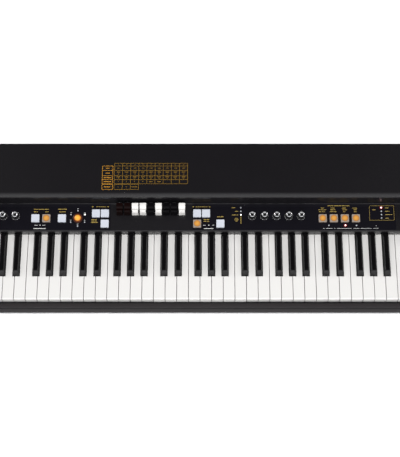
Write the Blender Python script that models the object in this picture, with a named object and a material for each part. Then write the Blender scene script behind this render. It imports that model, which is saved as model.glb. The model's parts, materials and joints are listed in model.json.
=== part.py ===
# Drawbar combo organ with 61 waterfall keys, a sloping control panel and a flat rear deck.
# Metres, +X to the player's right, +Y away from the player, +Z up.
# The origin is on the floor, under the middle of the case.

import math

import bmesh
import bpy
from mathutils import Matrix, Vector

# General
GAP = 0.0003                 # clearance between touching pieces
SHEET = 0.0015               # steel sheet of the cover, pan and rear panel
CIRCLE = 16                  # sides of a small round piece
BEND_STEPS = 3               # facets of a bend or round edge

# Keyboard
WHITE_KEYS = 36
KEY_PITCH = 0.0235
KEY_SPACE = 0.001            # between two white keys
KEY_VISIBLE = 0.1389         # white key, from its front to the panel lip
KEY_FRONT_HEIGHT = 0.018     # waterfall face
KEY_SIDE_HEIGHT = 0.016      # side walls behind the face
KEY_NOSE_RADIUS = 0.0025
KEY_FACE_DEPTH = 0.004       # waterfall face, front to back, at its foot
KEY_FACE_SLOPE = 0.002       # its back leans away up to the side walls
KEY_WALL = 0.0018
KEY_TOP_WALL = 0.0022
LEVER_STEP = 0.002           # hidden rear part of a white key is lower
WHITE_HEAD = 0.050           # white key front to black key front
BLACK_RISE = 0.012           # black key above the white keys
BLACK_FOOT_WIDTH = 0.0135
BLACK_TOP_WIDTH = 0.0100
BLACK_SLOPE = 0.0068         # how far the black key's front leans back
BLACK_EDGE = 0.0010          # rounding of its upper edges
BLACK_SPACE = 0.0008         # black key to white key
BLACK_LEVER_WIDTH = 0.0090
BLACK_LEVER_RISE = 0.002     # black lever above the white key tops, under the panel
BLACK_SHIFT = {0: -0.0027, 1: 0.0027, 3: -0.0039, 4: 0.0, 5: 0.0039}
PIVOT_BACK = 0.0652          # key pivot, behind the panel lip
PIVOT_DROP = 0.012           # key pivot, below the white key tops
PIVOT_RADIUS = 0.0027        # round bead that the keys rock on
TAIL = 0.005                 # key behind its pivot
SPINE_DEPTH = 0.010          # strip that joins the fixed keys behind the pivot
SPINE_HEIGHT = 0.006
SPINE_SPACE = 0.001          # spine to the moving keys in front of it
MOVING_WHITES = 8            # one octave in the middle, C to C, is hinged key by key
WHITE_TRAVEL = 0.010         # at the key front
BLACK_TRAVEL = 0.008

# Key frame
WHITE_STOP_DEPTH = 0.013     # stop rail under the white keys' fronts
BLACK_STOP_DEPTH = 0.012     # stop rail under the black keys' fronts
TAB_DEPTH = 0.004            # guide tabs inside the moving keys
WHITE_TAB_HALF = 0.003
WHITE_TAB_PLACE = 0.022      # behind the key's front
BLACK_TAB_HALF = 0.0024
BLACK_TAB_PLACE = 0.024

# Case, heights
FOOT_HEIGHT = 0.008
FOOT_RADIUS = 0.012
FOOT_TAPER = 0.0015
FOOT_X = 0.360
FOOT_INSET = 0.040           # foot centre, from the front and back of the case
KEY_TOP = 0.056              # white key tops above the floor
RAIL_DROP = 0.0146           # front rail below the white keys
LIP_RISE = 0.0145            # lower edge of the panel lip above the white keys
PANEL_RISE = 0.0223          # front edge of the panel above the white keys
PANEL_TILT = 5.0             # degrees
DECK_RISE = 0.0635           # rear deck above the white keys

# Case, depths from front to back
RAIL_DEPTH = 0.0103
RAIL_SPACE = 0.002           # front rail to the keys
PANEL_DEPTH = 0.0591         # panel lip to the wall
DECK_DEPTH = 0.1205          # wall to the back
END_SPACE = 0.002            # outer keys to the cheeks
CHEEK_WIDTH = 0.020
CHEEK_RISE = 0.008           # cheek above the keys
CHEEK_NOSE = 0.014           # cheek's nose above and in front of the panel lip
RAIL_SHEET = 0.002
RAIL_LEG = 0.010
LIP_RADIUS = 0.0020
WALL_RADIUS = 0.0100
BACK_RADIUS = 0.0025
RAIL_RADIUS = 0.0028
PAN_BEND = 0.003             # outer radius of the pan's bends
FOLD = 0.014                 # folds at the rear of the cover and of the pan
EDGE = 0.0015                # rounding of the cheeks' edges

# Control panel: distances run from the lip up the slope
ROW_LOW = 0.0154
ROW_MID = 0.0269
ROW_HIGH = 0.0374
KNOB_ROW = 0.0315
SELECTOR_ROW = 0.0274
KNOB_PITCH = 0.025
BUTTON_SIZE = 0.0165
BUTTON_RISE = 0.0045
BUTTON_STEM = 0.004
BUTTON_STEM_LENGTH = 0.0058  # stem below the cap
BUTTON_EASE = 0.0010         # sloping rim of a cap's top
STEM_CORNER = 0.0004
BUTTON_CORNER = 0.0012
HOLE_SPACE = 0.0003          # round a cap in its hole
CAP_SKIRT = 0.0026           # button cap below the panel surface
SELECTOR_RADIUS = 0.010
LENS_RADIUS = 0.0069
KNOB_RADIUS = 0.0085
KNOB_GRIP_RADIUS = 0.0062
KNOB_HEIGHT = 0.017
KNOB_FLOAT = 0.0005          # knob above the panel
SHAFT_RADIUS = 0.003
SHAFT_SPACE = 0.0004
BOARD_DROP = 0.012           # board's upper face below the panel surface
BOARD_SHEET = 0.0016
SWITCH_SIZE = 0.012
SWITCH_HEIGHT = 0.0067
POT_SIZE = 0.0098
POT_HEIGHT = 0.0065
SHAFT_DEPTH = 0.0108         # knob shaft below the panel surface
BOARD_MARGIN = 0.014         # board beyond the outer controls
BOARD_FRONT = 0.007          # board's front edge, from the lip
BOARD_BACK = 0.003           # board's rear edge, before the wall
POST_RADIUS = 0.0025         # posts that hang the board from the panel
POST_ROW = 0.008             # posts, before the wall

LOWER_PRESET_X = -0.2127
UPPER_PRESET_X = -0.0058
PRESET_PITCH = 0.0182
VOICE_X = 0.2508
VOICE_PITCH = 0.0226
BUTTONS = [
    ("effect_button_1", -0.3364, ROW_MID, "white"),
    ("effect_button_2", -0.3141, ROW_MID, "amber"),
    ("effect_button_3", -0.2822, ROW_MID, "white"),
    ("lower_preset_button_1", LOWER_PRESET_X, ROW_HIGH, "white"),
    ("lower_preset_button_2", LOWER_PRESET_X + PRESET_PITCH, ROW_HIGH, "white"),
    ("lower_preset_button_3", LOWER_PRESET_X + PRESET_PITCH, ROW_LOW, "white"),
    ("upper_preset_button_1", UPPER_PRESET_X, ROW_HIGH, "white"),
    ("upper_preset_button_2", UPPER_PRESET_X + PRESET_PITCH, ROW_HIGH, "white"),
    ("upper_preset_button_3", UPPER_PRESET_X, ROW_LOW, "amber"),
    ("split_button", 0.0416, ROW_LOW, "white"),
]
BUTTONS += [(f"voice_button_{i + 1}", VOICE_X + i * VOICE_PITCH, ROW_MID, "amber") for i in range(4)]
SELECTOR_X = -0.250
KNOBS = [(f"effect_knob_{i + 1}", -0.402 + i * KNOB_PITCH) for i in range(2)]
KNOBS += [(f"tone_knob_{i + 1}", 0.1066 + i * KNOB_PITCH) for i in range(5)]

# Drawbars
DRAWBAR_COLOURS = ["brown", "brown", "white", "white", "black", "white", "black", "black", "white"]
DRAWBAR_X = -0.1005          # middle drawbar
DRAWBAR_PITCH = 0.0159
CAP_FRONT = 0.0335           # cap front, pushed in, from the panel lip
CAP_LENGTH = 0.0215
CAP_WIDTH = 0.0133
CAP_WAIST = 0.0118
CAP_BOTTOM = 0.0015
CAP_TOP = 0.0188
CAP_SCOOP = 0.0022
CAP_EDGE = 0.0008            # bevel along the cap's upper edges
BAR_WIDTH = 0.009
BAR_BOTTOM = 0.0032
BAR_OVERLAP = 0.006          # bar's front end inside the cap
BAR_SHEET = 0.0032
BAR_LENGTH = 0.060           # bar behind the wall, pushed in
GUIDE_DEPTH = 0.064
GUIDE_WALL = 0.004
EAR_INSET = 0.016            # guide's ears, from its front and back

# Rear sockets
SWITCH_INSET = 0.0487        # rocker's middle, from the end of the shell
JACK_PITCH = 0.022
SOCKET_HEIGHT = 0.052
SOCKET_RADIUS = {"dc": 0.0040, "din": 0.0068, "jack": 0.0034}
SOCKET_DEPTH = {"dc": 0.010, "usb": 0.011, "din": 0.009, "jack": 0.026}
SOCKET_BODY = {"dc": 0.011, "usb": 0.012, "din": 0.018, "jack": 0.014}
SOCKET_CASE = 0.002          # socket body behind the end of its bore
USB_SIZE = (0.0084, 0.0078)
PLATE_MARGIN = 0.004         # jack plate beyond its window
WINDOW_MARGIN = 0.005        # window beyond the last socket
SOCKET_BOARD_DEPTH = 0.045   # circuit board behind the jack plate
SOCKET_SEAT = 0.0005         # sockets sunk into their board
WINDOW_HEIGHT = 0.026
ROCKER_WIDTH = 0.012
ROCKER_RADIUS = 0.0094
ROCKER_TILT = 8.0            # degrees each way
ROCKER_DEPTH = 0.009
ROCKER_ROOM = 0.003          # space behind the rocker
ROCKER_CASE = 0.002          # housing behind that space

# Sound board behind the keys
BOARD_HALF = 0.100           # half its length
BOARD_HEIGHT = 0.018
BOARD_FRONT_SPACE = 0.012    # keys' spine to the board
BOARD_BACK_SPACE = 0.018     # board to the back of the case
PILLAR_RADIUS = 0.003
PILLAR_INSET = 0.008
CHIPS = [(0.050, 0.0210, 0.024), (0.120, 0.0260, 0.016), (0.160, 0.0410, 0.012)]   # left, front, size
CHIP_RISE = 0.0015

# Places that follow from the sizes above
KEYS_HALF = WHITE_KEYS * KEY_PITCH / 2
INNER_HALF = KEYS_HALF + END_SPACE
SHELL_HALF = INNER_HALF - GAP
CASE_DEPTH = RAIL_DEPTH + RAIL_SPACE + KEY_VISIBLE + PANEL_DEPTH + DECK_DEPTH
FRONT_Y = -CASE_DEPTH / 2
BACK_Y = CASE_DEPTH / 2
KEY_FRONT_Y = FRONT_Y + RAIL_DEPTH + RAIL_SPACE
LIP_Y = KEY_FRONT_Y + KEY_VISIBLE
WALL_Y = LIP_Y + PANEL_DEPTH
PIVOT_Y = LIP_Y + PIVOT_BACK
PIVOT_Z = KEY_TOP - PIVOT_DROP
KEY_BOTTOM = KEY_TOP - KEY_SIDE_HEIGHT
NOTCH_Y = KEY_FRONT_Y + WHITE_HEAD - 0.001
SPINE_Y = PIVOT_Y + TAIL + SPINE_SPACE
TILT = math.radians(PANEL_TILT)
PANEL_Z = KEY_TOP + PANEL_RISE
WALL_FOOT_Z = PANEL_Z + PANEL_DEPTH * math.tan(TILT)
DECK_Z = KEY_TOP + DECK_RISE
RAIL_TOP = KEY_TOP - RAIL_DROP
FLOOR_Z = FOOT_HEIGHT + SHEET
FIRST_MOVING = (WHITE_KEYS - MOVING_WHITES) // 2
LAST_MOVING = FIRST_MOVING + MOVING_WHITES - 1
WALL_ROW = PANEL_DEPTH / math.cos(TILT)
NOTES = "cdefgab"
SWITCH_X = SWITCH_INSET - SHELL_HALF
SOCKETS = [                  # name, x, kind
    ("dc_inlet", SWITCH_X + 0.024, "dc"),
    ("usb_socket", SWITCH_X + 0.044, "usb"),
    ("midi_out", SWITCH_X + 0.070, "din"),
    ("midi_in", SWITCH_X + 0.096, "din"),
]
SOCKETS += [(f"jack_{i + 1}", SWITCH_X + 0.124 + i * JACK_PITCH, "jack") for i in range(5)]

for old in list(bpy.data.objects):
    bpy.data.objects.remove(old)


def paint(name, colour, roughness, metallic=0.0):
    """A plain Principled material, made once."""
    found = bpy.data.materials.get(name)
    if found:
        return found
    mat = bpy.data.materials.new(name)
    mat.use_nodes = True
    shader = mat.node_tree.nodes["Principled BSDF"]
    shader.inputs["Base Color"].default_value = (*colour, 1.0)
    shader.inputs["Roughness"].default_value = roughness
    shader.inputs["Metallic"].default_value = metallic
    return mat


def black_paint():
    """Satin black powder coat of the sheet metal."""
    return paint("satin_black_paint", (0.020, 0.019, 0.022), 0.42)


def grey_paint():
    """Dark grey coat of the front rail."""
    return paint("dark_grey_rail", (0.040, 0.038, 0.042), 0.40)


def zinc_steel():
    """Bare plated steel."""
    return paint("zinc_steel", (0.45, 0.46, 0.47), 0.35, 0.9)


def circuit_board():
    """Green lacquered board."""
    return paint("circuit_board", (0.02, 0.12, 0.05), 0.5)


def moulding(tone):
    """Moulded plastic in one of the four colours."""
    tones = {
        "white": ((0.90, 0.89, 0.88), 0.30),
        "black": ((0.008, 0.008, 0.009), 0.25),
        "brown": ((0.035, 0.014, 0.012), 0.30),
        "amber": ((0.75, 0.30, 0.08), 0.35),
    }
    return paint(f"{tone}_moulding", *tones[tone])


def finish(name, bm, mat, parent=None, location=(0, 0, 0), smooth=False):
    """Turn a bmesh into a named object with outward faces."""
    bmesh.ops.recalc_face_normals(bm, faces=bm.faces)
    mesh = bpy.data.meshes.new(name)
    bm.to_mesh(mesh)
    bm.free()
    if smooth:
        mesh.shade_smooth()
        mesh.set_sharp_from_angle(angle=math.radians(35))
    mesh.materials.append(mat)
    obj = bpy.data.objects.new(name, mesh)
    obj.location = location
    obj.parent = parent
    bpy.context.scene.collection.objects.link(obj)
    return obj


def combine(target, operation, name, bm, parent=None, location=(0, 0, 0)):
    """Join, cut or intersect the target with a hidden helper solid."""
    helper = finish(name, bm, target.data.materials[0], parent, location)
    apply_helper(target, operation, helper)
    return helper


def apply_helper(target, operation, helper):
    """Hide a helper solid and put it to work on the target."""
    helper.hide_render = True
    helper.display_type = "WIRE"
    modifier = target.modifiers.new(helper.name, "BOOLEAN")
    modifier.operation = operation
    modifier.solver = "EXACT"
    modifier.object = helper


def add_box(bm, low, high):
    """A block between two corners."""
    low, high = Vector(low), Vector(high)
    size = high - low
    place = Matrix.Translation((low + high) / 2) @ Matrix.Diagonal((*size, 1.0))
    bmesh.ops.create_cube(bm, size=1.0, matrix=place)


def add_prism(bm, outline, plane, low, high):
    """Extrude an outline: plane 'yz' runs along X, 'xy' runs along Z."""
    def point(a, b, c):
        return (c, a, b) if plane == "yz" else (a, b, c)
    face = bm.faces.new([bm.verts.new(point(a, b, low)) for a, b in outline])
    grown = bmesh.ops.extrude_face_region(bm, geom=[face])
    verts = [v for v in grown["geom"] if isinstance(v, bmesh.types.BMVert)]
    bmesh.ops.translate(bm, verts=verts, vec=Vector(point(0, 0, high - low)))


def add_rod(bm, centre, radius, low, high, axis="z", sides=CIRCLE):
    """A closed rod along an axis."""
    turn = {"z": Matrix(), "y": Matrix.Rotation(math.radians(90), 4, "X")}[axis]
    middle = Vector(centre)
    middle["xyz".index(axis)] = (low + high) / 2
    bmesh.ops.create_cone(bm, cap_ends=True, segments=sides, radius1=radius, radius2=radius,
                          depth=high - low, matrix=Matrix.Translation(middle) @ turn)


def add_turning(bm, profile, sides=CIRCLE):
    """Spin a profile of (radius, height) points, which starts and ends on the axis."""
    verts = [bm.verts.new((r, 0, z)) for r, z in profile]
    edges = [bm.edges.new(pair) for pair in zip(verts, verts[1:])]
    bmesh.ops.spin(bm, geom=verts + edges, cent=(0, 0, 0), axis=(0, 0, 1),
                   angle=math.tau, steps=sides, use_duplicate=False)
    bmesh.ops.remove_doubles(bm, verts=bm.verts, dist=0.00001)


def add_loft(bm, rings):
    """Bridge closed rings of equal length and cap both ends."""
    loops = [[bm.verts.new(p) for p in ring] for ring in rings]
    for lower, upper in zip(loops, loops[1:]):
        count = len(lower)
        for i in range(count):
            j = (i + 1) % count
            bm.faces.new((lower[i], lower[j], upper[j], upper[i]))
    bm.faces.new(loops[0])
    bm.faces.new(loops[-1])


def rounded_path(corners, steps=BEND_STEPS):
    """Points of an open path whose corners (y, z, radius) are rounded."""
    path = [Vector(corners[0][:2])]
    for before, here, after in zip(corners, corners[1:], corners[2:]):
        corner = Vector(here[:2])
        to_before = (Vector(before[:2]) - corner).normalized()
        to_after = (Vector(after[:2]) - corner).normalized()
        if here[2] == 0:
            path.append(corner)
            continue
        half = to_before.angle(to_after) / 2
        centre = corner + (to_before + to_after).normalized() * here[2] / math.sin(half)
        start = corner + to_before * here[2] / math.tan(half) - centre
        sweep = start.angle_signed(corner + to_after * here[2] / math.tan(half) - centre)
        for i in range(steps + 1):
            turn = Matrix.Rotation(-sweep * i / steps, 2)
            path.append(centre + turn @ start)
    path.append(Vector(corners[-1][:2]))
    return path


def folded_sheet(name, corners, thickness, mat):
    """Sheet folded along a path in the YZ plane; the path is its outer face, on the left."""
    bm = bmesh.new()
    path = rounded_path(corners)
    rows = [[bm.verts.new((x, *p)) for x in (-SHELL_HALF, SHELL_HALF)] for p in path]
    for a, b in zip(rows, rows[1:]):
        bm.faces.new((a[0], a[1], b[1], b[0]))
    mesh = bpy.data.meshes.new(name)
    bm.to_mesh(mesh)
    bm.free()
    mesh.materials.append(mat)
    obj = bpy.data.objects.new(name, mesh)
    bpy.context.scene.collection.objects.link(obj)
    wall = obj.modifiers.new("sheet", "SOLIDIFY")
    wall.thickness = thickness
    wall.offset = -1
    wall.use_even_offset = True
    return obj


# The panel's own frame: local X along the lip, local Y up the slope, local Z off the surface
panel = bpy.data.objects.new("panel_plane", None)
panel.location = (0, LIP_Y, PANEL_Z)
panel.rotation_euler = (TILT, 0, 0)
bpy.context.scene.collection.objects.link(panel)


def drawbar_x(index):
    """Middle of a drawbar, along the panel."""
    return DRAWBAR_X + (index - 4) * DRAWBAR_PITCH


def drawbar_channels():
    """Nine channels, one round each drawbar's bar, through the wall and the guide."""
    bm = bmesh.new()
    for i in range(len(DRAWBAR_COLOURS)):
        half = BAR_WIDTH / 2 + GAP
        low = (drawbar_x(i) - half, WALL_ROW - 0.004, BAR_BOTTOM - GAP)
        high = (drawbar_x(i) + half, WALL_ROW + GUIDE_DEPTH + 0.010, BAR_BOTTOM + BAR_SHEET + GAP)
        add_box(bm, low, high)
    return bm


def top_cover():
    """One bent sheet: lip, control panel, wall, rear deck and rear fold."""
    corners = [
        (LIP_Y, KEY_TOP + LIP_RISE, 0),
        (LIP_Y, PANEL_Z, LIP_RADIUS),
        (WALL_Y, WALL_FOOT_Z, SHEET),
        (WALL_Y, DECK_Z, WALL_RADIUS),
        (BACK_Y, DECK_Z, BACK_RADIUS),
        (BACK_Y, DECK_Z - FOLD, 0),
    ]
    cover = folded_sheet("top_cover", corners, SHEET, black_paint())
    bm = bmesh.new()
    half = BUTTON_SIZE / 2 + HOLE_SPACE
    for _, x, row, _ in BUTTONS:
        add_box(bm, (x - half, row - half, -0.01), (x + half, row + half, 0.01))
    for _, x in KNOBS:
        add_rod(bm, (x, KNOB_ROW, 0), SHAFT_RADIUS + 2 * SHAFT_SPACE, -0.01, 0.01, sides=12)
    add_rod(bm, (SELECTOR_X, SELECTOR_ROW, 0), SELECTOR_RADIUS + 2 * HOLE_SPACE, -0.01, 0.01)
    combine(cover, "DIFFERENCE", "panel_holes", bm, panel)
    combine(cover, "DIFFERENCE", "wall_slots", drawbar_channels(), panel)
    return cover


def bottom_pan():
    """Folded floor with an upstand at the front and back, on four feet."""
    front = FRONT_Y + RAIL_SHEET + GAP
    top = FOOT_HEIGHT + FOLD
    corners = [
        (BACK_Y, top, 0),
        (BACK_Y, FOOT_HEIGHT, PAN_BEND),
        (front, FOOT_HEIGHT, PAN_BEND),
        (front, top, 0),
    ]
    pan = folded_sheet("bottom_pan", corners, SHEET, black_paint())
    bm = bmesh.new()
    for x in (-FOOT_X, FOOT_X):
        for y in (FRONT_Y + FOOT_INSET, BACK_Y - FOOT_INSET):
            depth = FOOT_HEIGHT + SHEET / 2
            bmesh.ops.create_cone(bm, cap_ends=True, segments=CIRCLE, depth=depth,
                                  radius1=FOOT_RADIUS - FOOT_TAPER, radius2=FOOT_RADIUS,
                                  matrix=Matrix.Translation((x, y, depth / 2)))
    combine(pan, "UNION", "feet", bm)
    return pan


def front_rail():
    """Key slip: a channel open below, with a rounded front edge."""
    back = FRONT_Y + RAIL_DEPTH
    corners = [
        (FRONT_Y, FOOT_HEIGHT, 0),
        (FRONT_Y, RAIL_TOP, RAIL_RADIUS),
        (back, RAIL_TOP, RAIL_RADIUS),
        (back, RAIL_TOP - RAIL_LEG, 0),
    ]
    return folded_sheet("front_rail", corners, RAIL_SHEET, grey_paint())


def cheek(name, side):
    """End cheek: high at the deck, raked down to the panel lip, low beside the keys."""
    low_top = KEY_TOP + CHEEK_RISE
    nose_z = PANEL_Z + CHEEK_NOSE / 2
    corners = [
        (BACK_Y, FOOT_HEIGHT, 0),
        (BACK_Y, DECK_Z, BACK_RADIUS),
        (WALL_Y, DECK_Z, 0.012),
        (LIP_Y - CHEEK_NOSE / 2, nose_z, 0.010),
        (LIP_Y - CHEEK_NOSE, low_top, 0.006),
        (FRONT_Y, low_top, 0.010),
        (FRONT_Y, FOOT_HEIGHT, 0),
    ]
    bm = bmesh.new()
    low, high = sorted((side * INNER_HALF, side * (INNER_HALF + CHEEK_WIDTH)))
    add_prism(bm, rounded_path(corners), "yz", low, high)
    board = finish(name, bm, black_paint())
    edges = board.modifiers.new("edges", "BEVEL")
    edges.width = EDGE
    edges.segments = 1
    edges.limit_method = "ANGLE"
    edges.angle_limit = math.radians(60)
    return board


def white_edges(index):
    """Left and right X of a white key's head and of its narrower tail."""
    left = index * KEY_PITCH - KEYS_HALF + KEY_SPACE / 2
    right = left + KEY_PITCH - KEY_SPACE
    room = BLACK_FOOT_WIDTH / 2 + BLACK_SPACE
    tail_left, tail_right = left, right
    if (index - 1) % 7 in BLACK_SHIFT and index > 0:
        tail_left = black_x(index - 1) + room
    if index % 7 in BLACK_SHIFT and index < WHITE_KEYS - 1:
        tail_right = black_x(index) - room
    return left, right, tail_left, tail_right


def black_x(index):
    """Centre of the black key to the right of a white key."""
    return (index + 1) * KEY_PITCH - KEYS_HALF + BLACK_SHIFT[index % 7]


def white_outline(index, wall=0.0, back=PIVOT_Y + TAIL):
    """Front part of a white key's plan, from its rear left round to its rear right."""
    left, right, tail_left, tail_right = white_edges(index)
    points = [(tail_left + wall, back)]
    if tail_left > left:
        points += [(tail_left + wall, NOTCH_Y - wall), (left + wall, NOTCH_Y - wall)]
    points += [(left + wall, KEY_FRONT_Y + wall), (right - wall, KEY_FRONT_Y + wall)]
    if tail_right < right:
        points += [(right - wall, NOTCH_Y - wall), (tail_right - wall, NOTCH_Y - wall)]
    points.append((tail_right - wall, back))
    return points


def key_profile(back):
    """Side view of a white key: waterfall face, top, lower lever and tail."""
    nose = rounded_path([
        (KEY_FRONT_Y, KEY_TOP - KEY_FRONT_HEIGHT, 0),
        (KEY_FRONT_Y, KEY_TOP, KEY_NOSE_RADIUS),
        (LIP_Y + SHEET, KEY_TOP, 0),
    ])
    lever = KEY_TOP - LEVER_STEP
    step = PIVOT_Y + TAIL
    tail = [(LIP_Y + SHEET + LEVER_STEP, lever), (step, lever)]
    if back > step:
        tail += [(step, KEY_BOTTOM + SPINE_HEIGHT), (back, KEY_BOTTOM + SPINE_HEIGHT)]
    tail.append((back, KEY_BOTTOM))
    tail.append((KEY_FRONT_Y + KEY_FACE_DEPTH + KEY_FACE_SLOPE, KEY_BOTTOM))
    tail.append((KEY_FRONT_Y + KEY_FACE_DEPTH, KEY_TOP - KEY_FRONT_HEIGHT))
    return [tuple(p) for p in nose] + tail


def fulcrum_clearance():
    """U-shaped slot across every key's underside, round the frame's bead."""
    radius = PIVOT_RADIUS + GAP
    arc = [(PIVOT_Y - radius * math.cos(a), PIVOT_Z + radius * math.sin(a))
           for a in (math.pi * i / 6 for i in range(7))]
    outline = [(PIVOT_Y - radius, KEY_BOTTOM - 0.004)] + arc + [(PIVOT_Y + radius, KEY_BOTTOM - 0.004)]
    bm = bmesh.new()
    add_prism(bm, outline, "yz", -KEYS_HALF - 0.01, KEYS_HALF + 0.01)
    return finish("fulcrum_clearance", bm, moulding("black"))


def white_keys(name, indices, slot, pivot=None):
    """White keys cut from one profile by their plan; fixed ones share a spine at the back."""
    joined = len(indices) > 1
    back = SPINE_Y + SPINE_DEPTH if joined else PIVOT_Y + TAIL
    left = white_edges(indices[0])[0]
    right = white_edges(indices[-1])[1]
    bm = bmesh.new()
    add_prism(bm, key_profile(back), "yz", left - 0.002, right + 0.002)
    keys = finish(name, bm, moulding("white"))
    plan = bmesh.new()
    outline = []
    for index in indices:
        outline += white_outline(index, back=SPINE_Y if joined else back + 0.001)
    if joined:
        outline += [(right, back + 0.001), (left, back + 0.001)]
    add_prism(plan, outline, "xy", KEY_BOTTOM - 0.01, KEY_TOP + 0.01)
    combine(keys, "INTERSECT", name + "_plan", plan)
    if not joined:
        hollow = bmesh.new()
        inside = white_outline(indices[0], wall=KEY_WALL, back=PIVOT_Y - PIVOT_RADIUS - 3 * KEY_WALL)
        add_prism(hollow, inside, "xy", KEY_BOTTOM - 0.01, KEY_TOP - LEVER_STEP - KEY_TOP_WALL)
        combine(keys, "DIFFERENCE", name + "_hollow", hollow)
    apply_helper(keys, "DIFFERENCE", slot)
    if pivot:
        move_origin(keys, pivot)
    return keys


def add_black_key(bm, index, back, tail_bottom):
    """Tapered head with a sloping front; its lever runs back under the panel."""
    x = black_x(index)
    front = KEY_FRONT_Y + WHITE_HEAD
    top = KEY_TOP + BLACK_RISE
    rear = LIP_Y + SHEET + LEVER_STEP
    lever_front = rear - 0.006
    sections = [
        (KEY_BOTTOM, BLACK_FOOT_WIDTH, front),
        (KEY_TOP, BLACK_FOOT_WIDTH, front),
        (top - BLACK_EDGE, BLACK_TOP_WIDTH + BLACK_EDGE / 2, front + BLACK_SLOPE - BLACK_EDGE / 2),
        (top, BLACK_TOP_WIDTH - BLACK_EDGE, front + BLACK_SLOPE + BLACK_EDGE),
    ]
    rings = []
    for z, width, y in sections:
        rings.append([(x - width / 2, y, z), (x + width / 2, y, z),
                      (x + width / 2, rear, z), (x - width / 2, rear, z)])
    add_loft(bm, rings)
    lever = bmesh.new()
    side = [
        (lever_front, KEY_BOTTOM + GAP),
        (PIVOT_Y + TAIL, KEY_BOTTOM + GAP),
        (PIVOT_Y + TAIL, tail_bottom),
        (back, tail_bottom),
        (back, tail_bottom + SPINE_HEIGHT),
        (PIVOT_Y + TAIL, KEY_TOP + BLACK_LEVER_RISE),
        (lever_front, KEY_TOP + BLACK_LEVER_RISE),
    ]
    if tail_bottom <= KEY_BOTTOM + GAP:
        side = [side[0], side[1], side[5], side[6]]
    add_prism(lever, side, "yz", x - BLACK_LEVER_WIDTH / 2, x + BLACK_LEVER_WIDTH / 2)
    return lever


def black_keys(name, indices, slot, pivot=None):
    """Black keys; fixed ones share a spine that lies on the white keys' spine."""
    joined = len(indices) > 1
    spine_low = KEY_BOTTOM + SPINE_HEIGHT + GAP
    back = SPINE_Y + SPINE_DEPTH if joined else PIVOT_Y + TAIL
    heads = bmesh.new()
    levers = bmesh.new()
    for index in indices:
        tail_bottom = spine_low if joined else KEY_BOTTOM
        lever = add_black_key(heads, index, back - 0.001, tail_bottom)
        part = bpy.data.meshes.new("lever")
        lever.to_mesh(part)
        lever.free()
        levers.from_mesh(part)
    keys = finish(name, levers, moulding("black"))
    combine(keys, "UNION", name + "_heads", heads)
    if joined:
        spine = bmesh.new()
        first = black_x(indices[0]) - BLACK_LEVER_WIDTH / 2
        last = black_x(indices[-1]) + BLACK_LEVER_WIDTH / 2
        add_box(spine, (first - 0.001, SPINE_Y, spine_low),
                (last + 0.001, back, spine_low + SPINE_HEIGHT - 0.001))
        combine(keys, "UNION", name + "_spine", spine)
    else:
        hollow = bmesh.new()
        x = black_x(indices[0])
        half = BLACK_LEVER_WIDTH / 2 - KEY_WALL + 0.0005
        front = KEY_FRONT_Y + WHITE_HEAD + BLACK_SLOPE
        add_box(hollow, (x - half, front, KEY_BOTTOM - 0.01),
                (x + half, PIVOT_Y - PIVOT_RADIUS - 3 * KEY_WALL, KEY_TOP + BLACK_LEVER_RISE - KEY_TOP_WALL))
        combine(keys, "DIFFERENCE", name + "_hollow", hollow)
    apply_helper(keys, "DIFFERENCE", slot)
    if pivot:
        move_origin(keys, pivot)
    return keys


def move_origin(obj, pivot):
    """Put an object's origin on its pivot, leaving its faces where they are."""
    obj.data.transform(Matrix.Translation(-pivot))
    obj.location = pivot


def keyboard():
    """Sixty-one keys: the middle octave swings key by key, the rest stand on their spines."""
    slot = fulcrum_clearance()
    lower = list(range(FIRST_MOVING))
    upper = list(range(LAST_MOVING + 1, WHITE_KEYS))
    white_keys("white_keys_lower", lower, slot)
    white_keys("white_keys_upper", upper, slot)
    lower_black = [i for i in lower if i % 7 in BLACK_SHIFT]
    upper_black = [i for i in [LAST_MOVING] + upper[:-1] if i % 7 in BLACK_SHIFT]
    black_keys("black_keys_lower", lower_black, slot)
    black_keys("black_keys_upper", upper_black, slot)
    for index in range(FIRST_MOVING, LAST_MOVING + 1):
        octave = 2 + index // 7
        note = NOTES[index % 7]
        left, right = white_edges(index)[:2]
        pivot = Vector(((left + right) / 2, PIVOT_Y, PIVOT_Z))
        white_keys(f"white_key_{note}{octave}", [index], slot, pivot)
        if index % 7 in BLACK_SHIFT and index < LAST_MOVING:
            pivot = Vector((black_x(index), PIVOT_Y, PIVOT_Z))
            black_keys(f"black_key_{note}_sharp{octave}", [index], slot, pivot)


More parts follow.
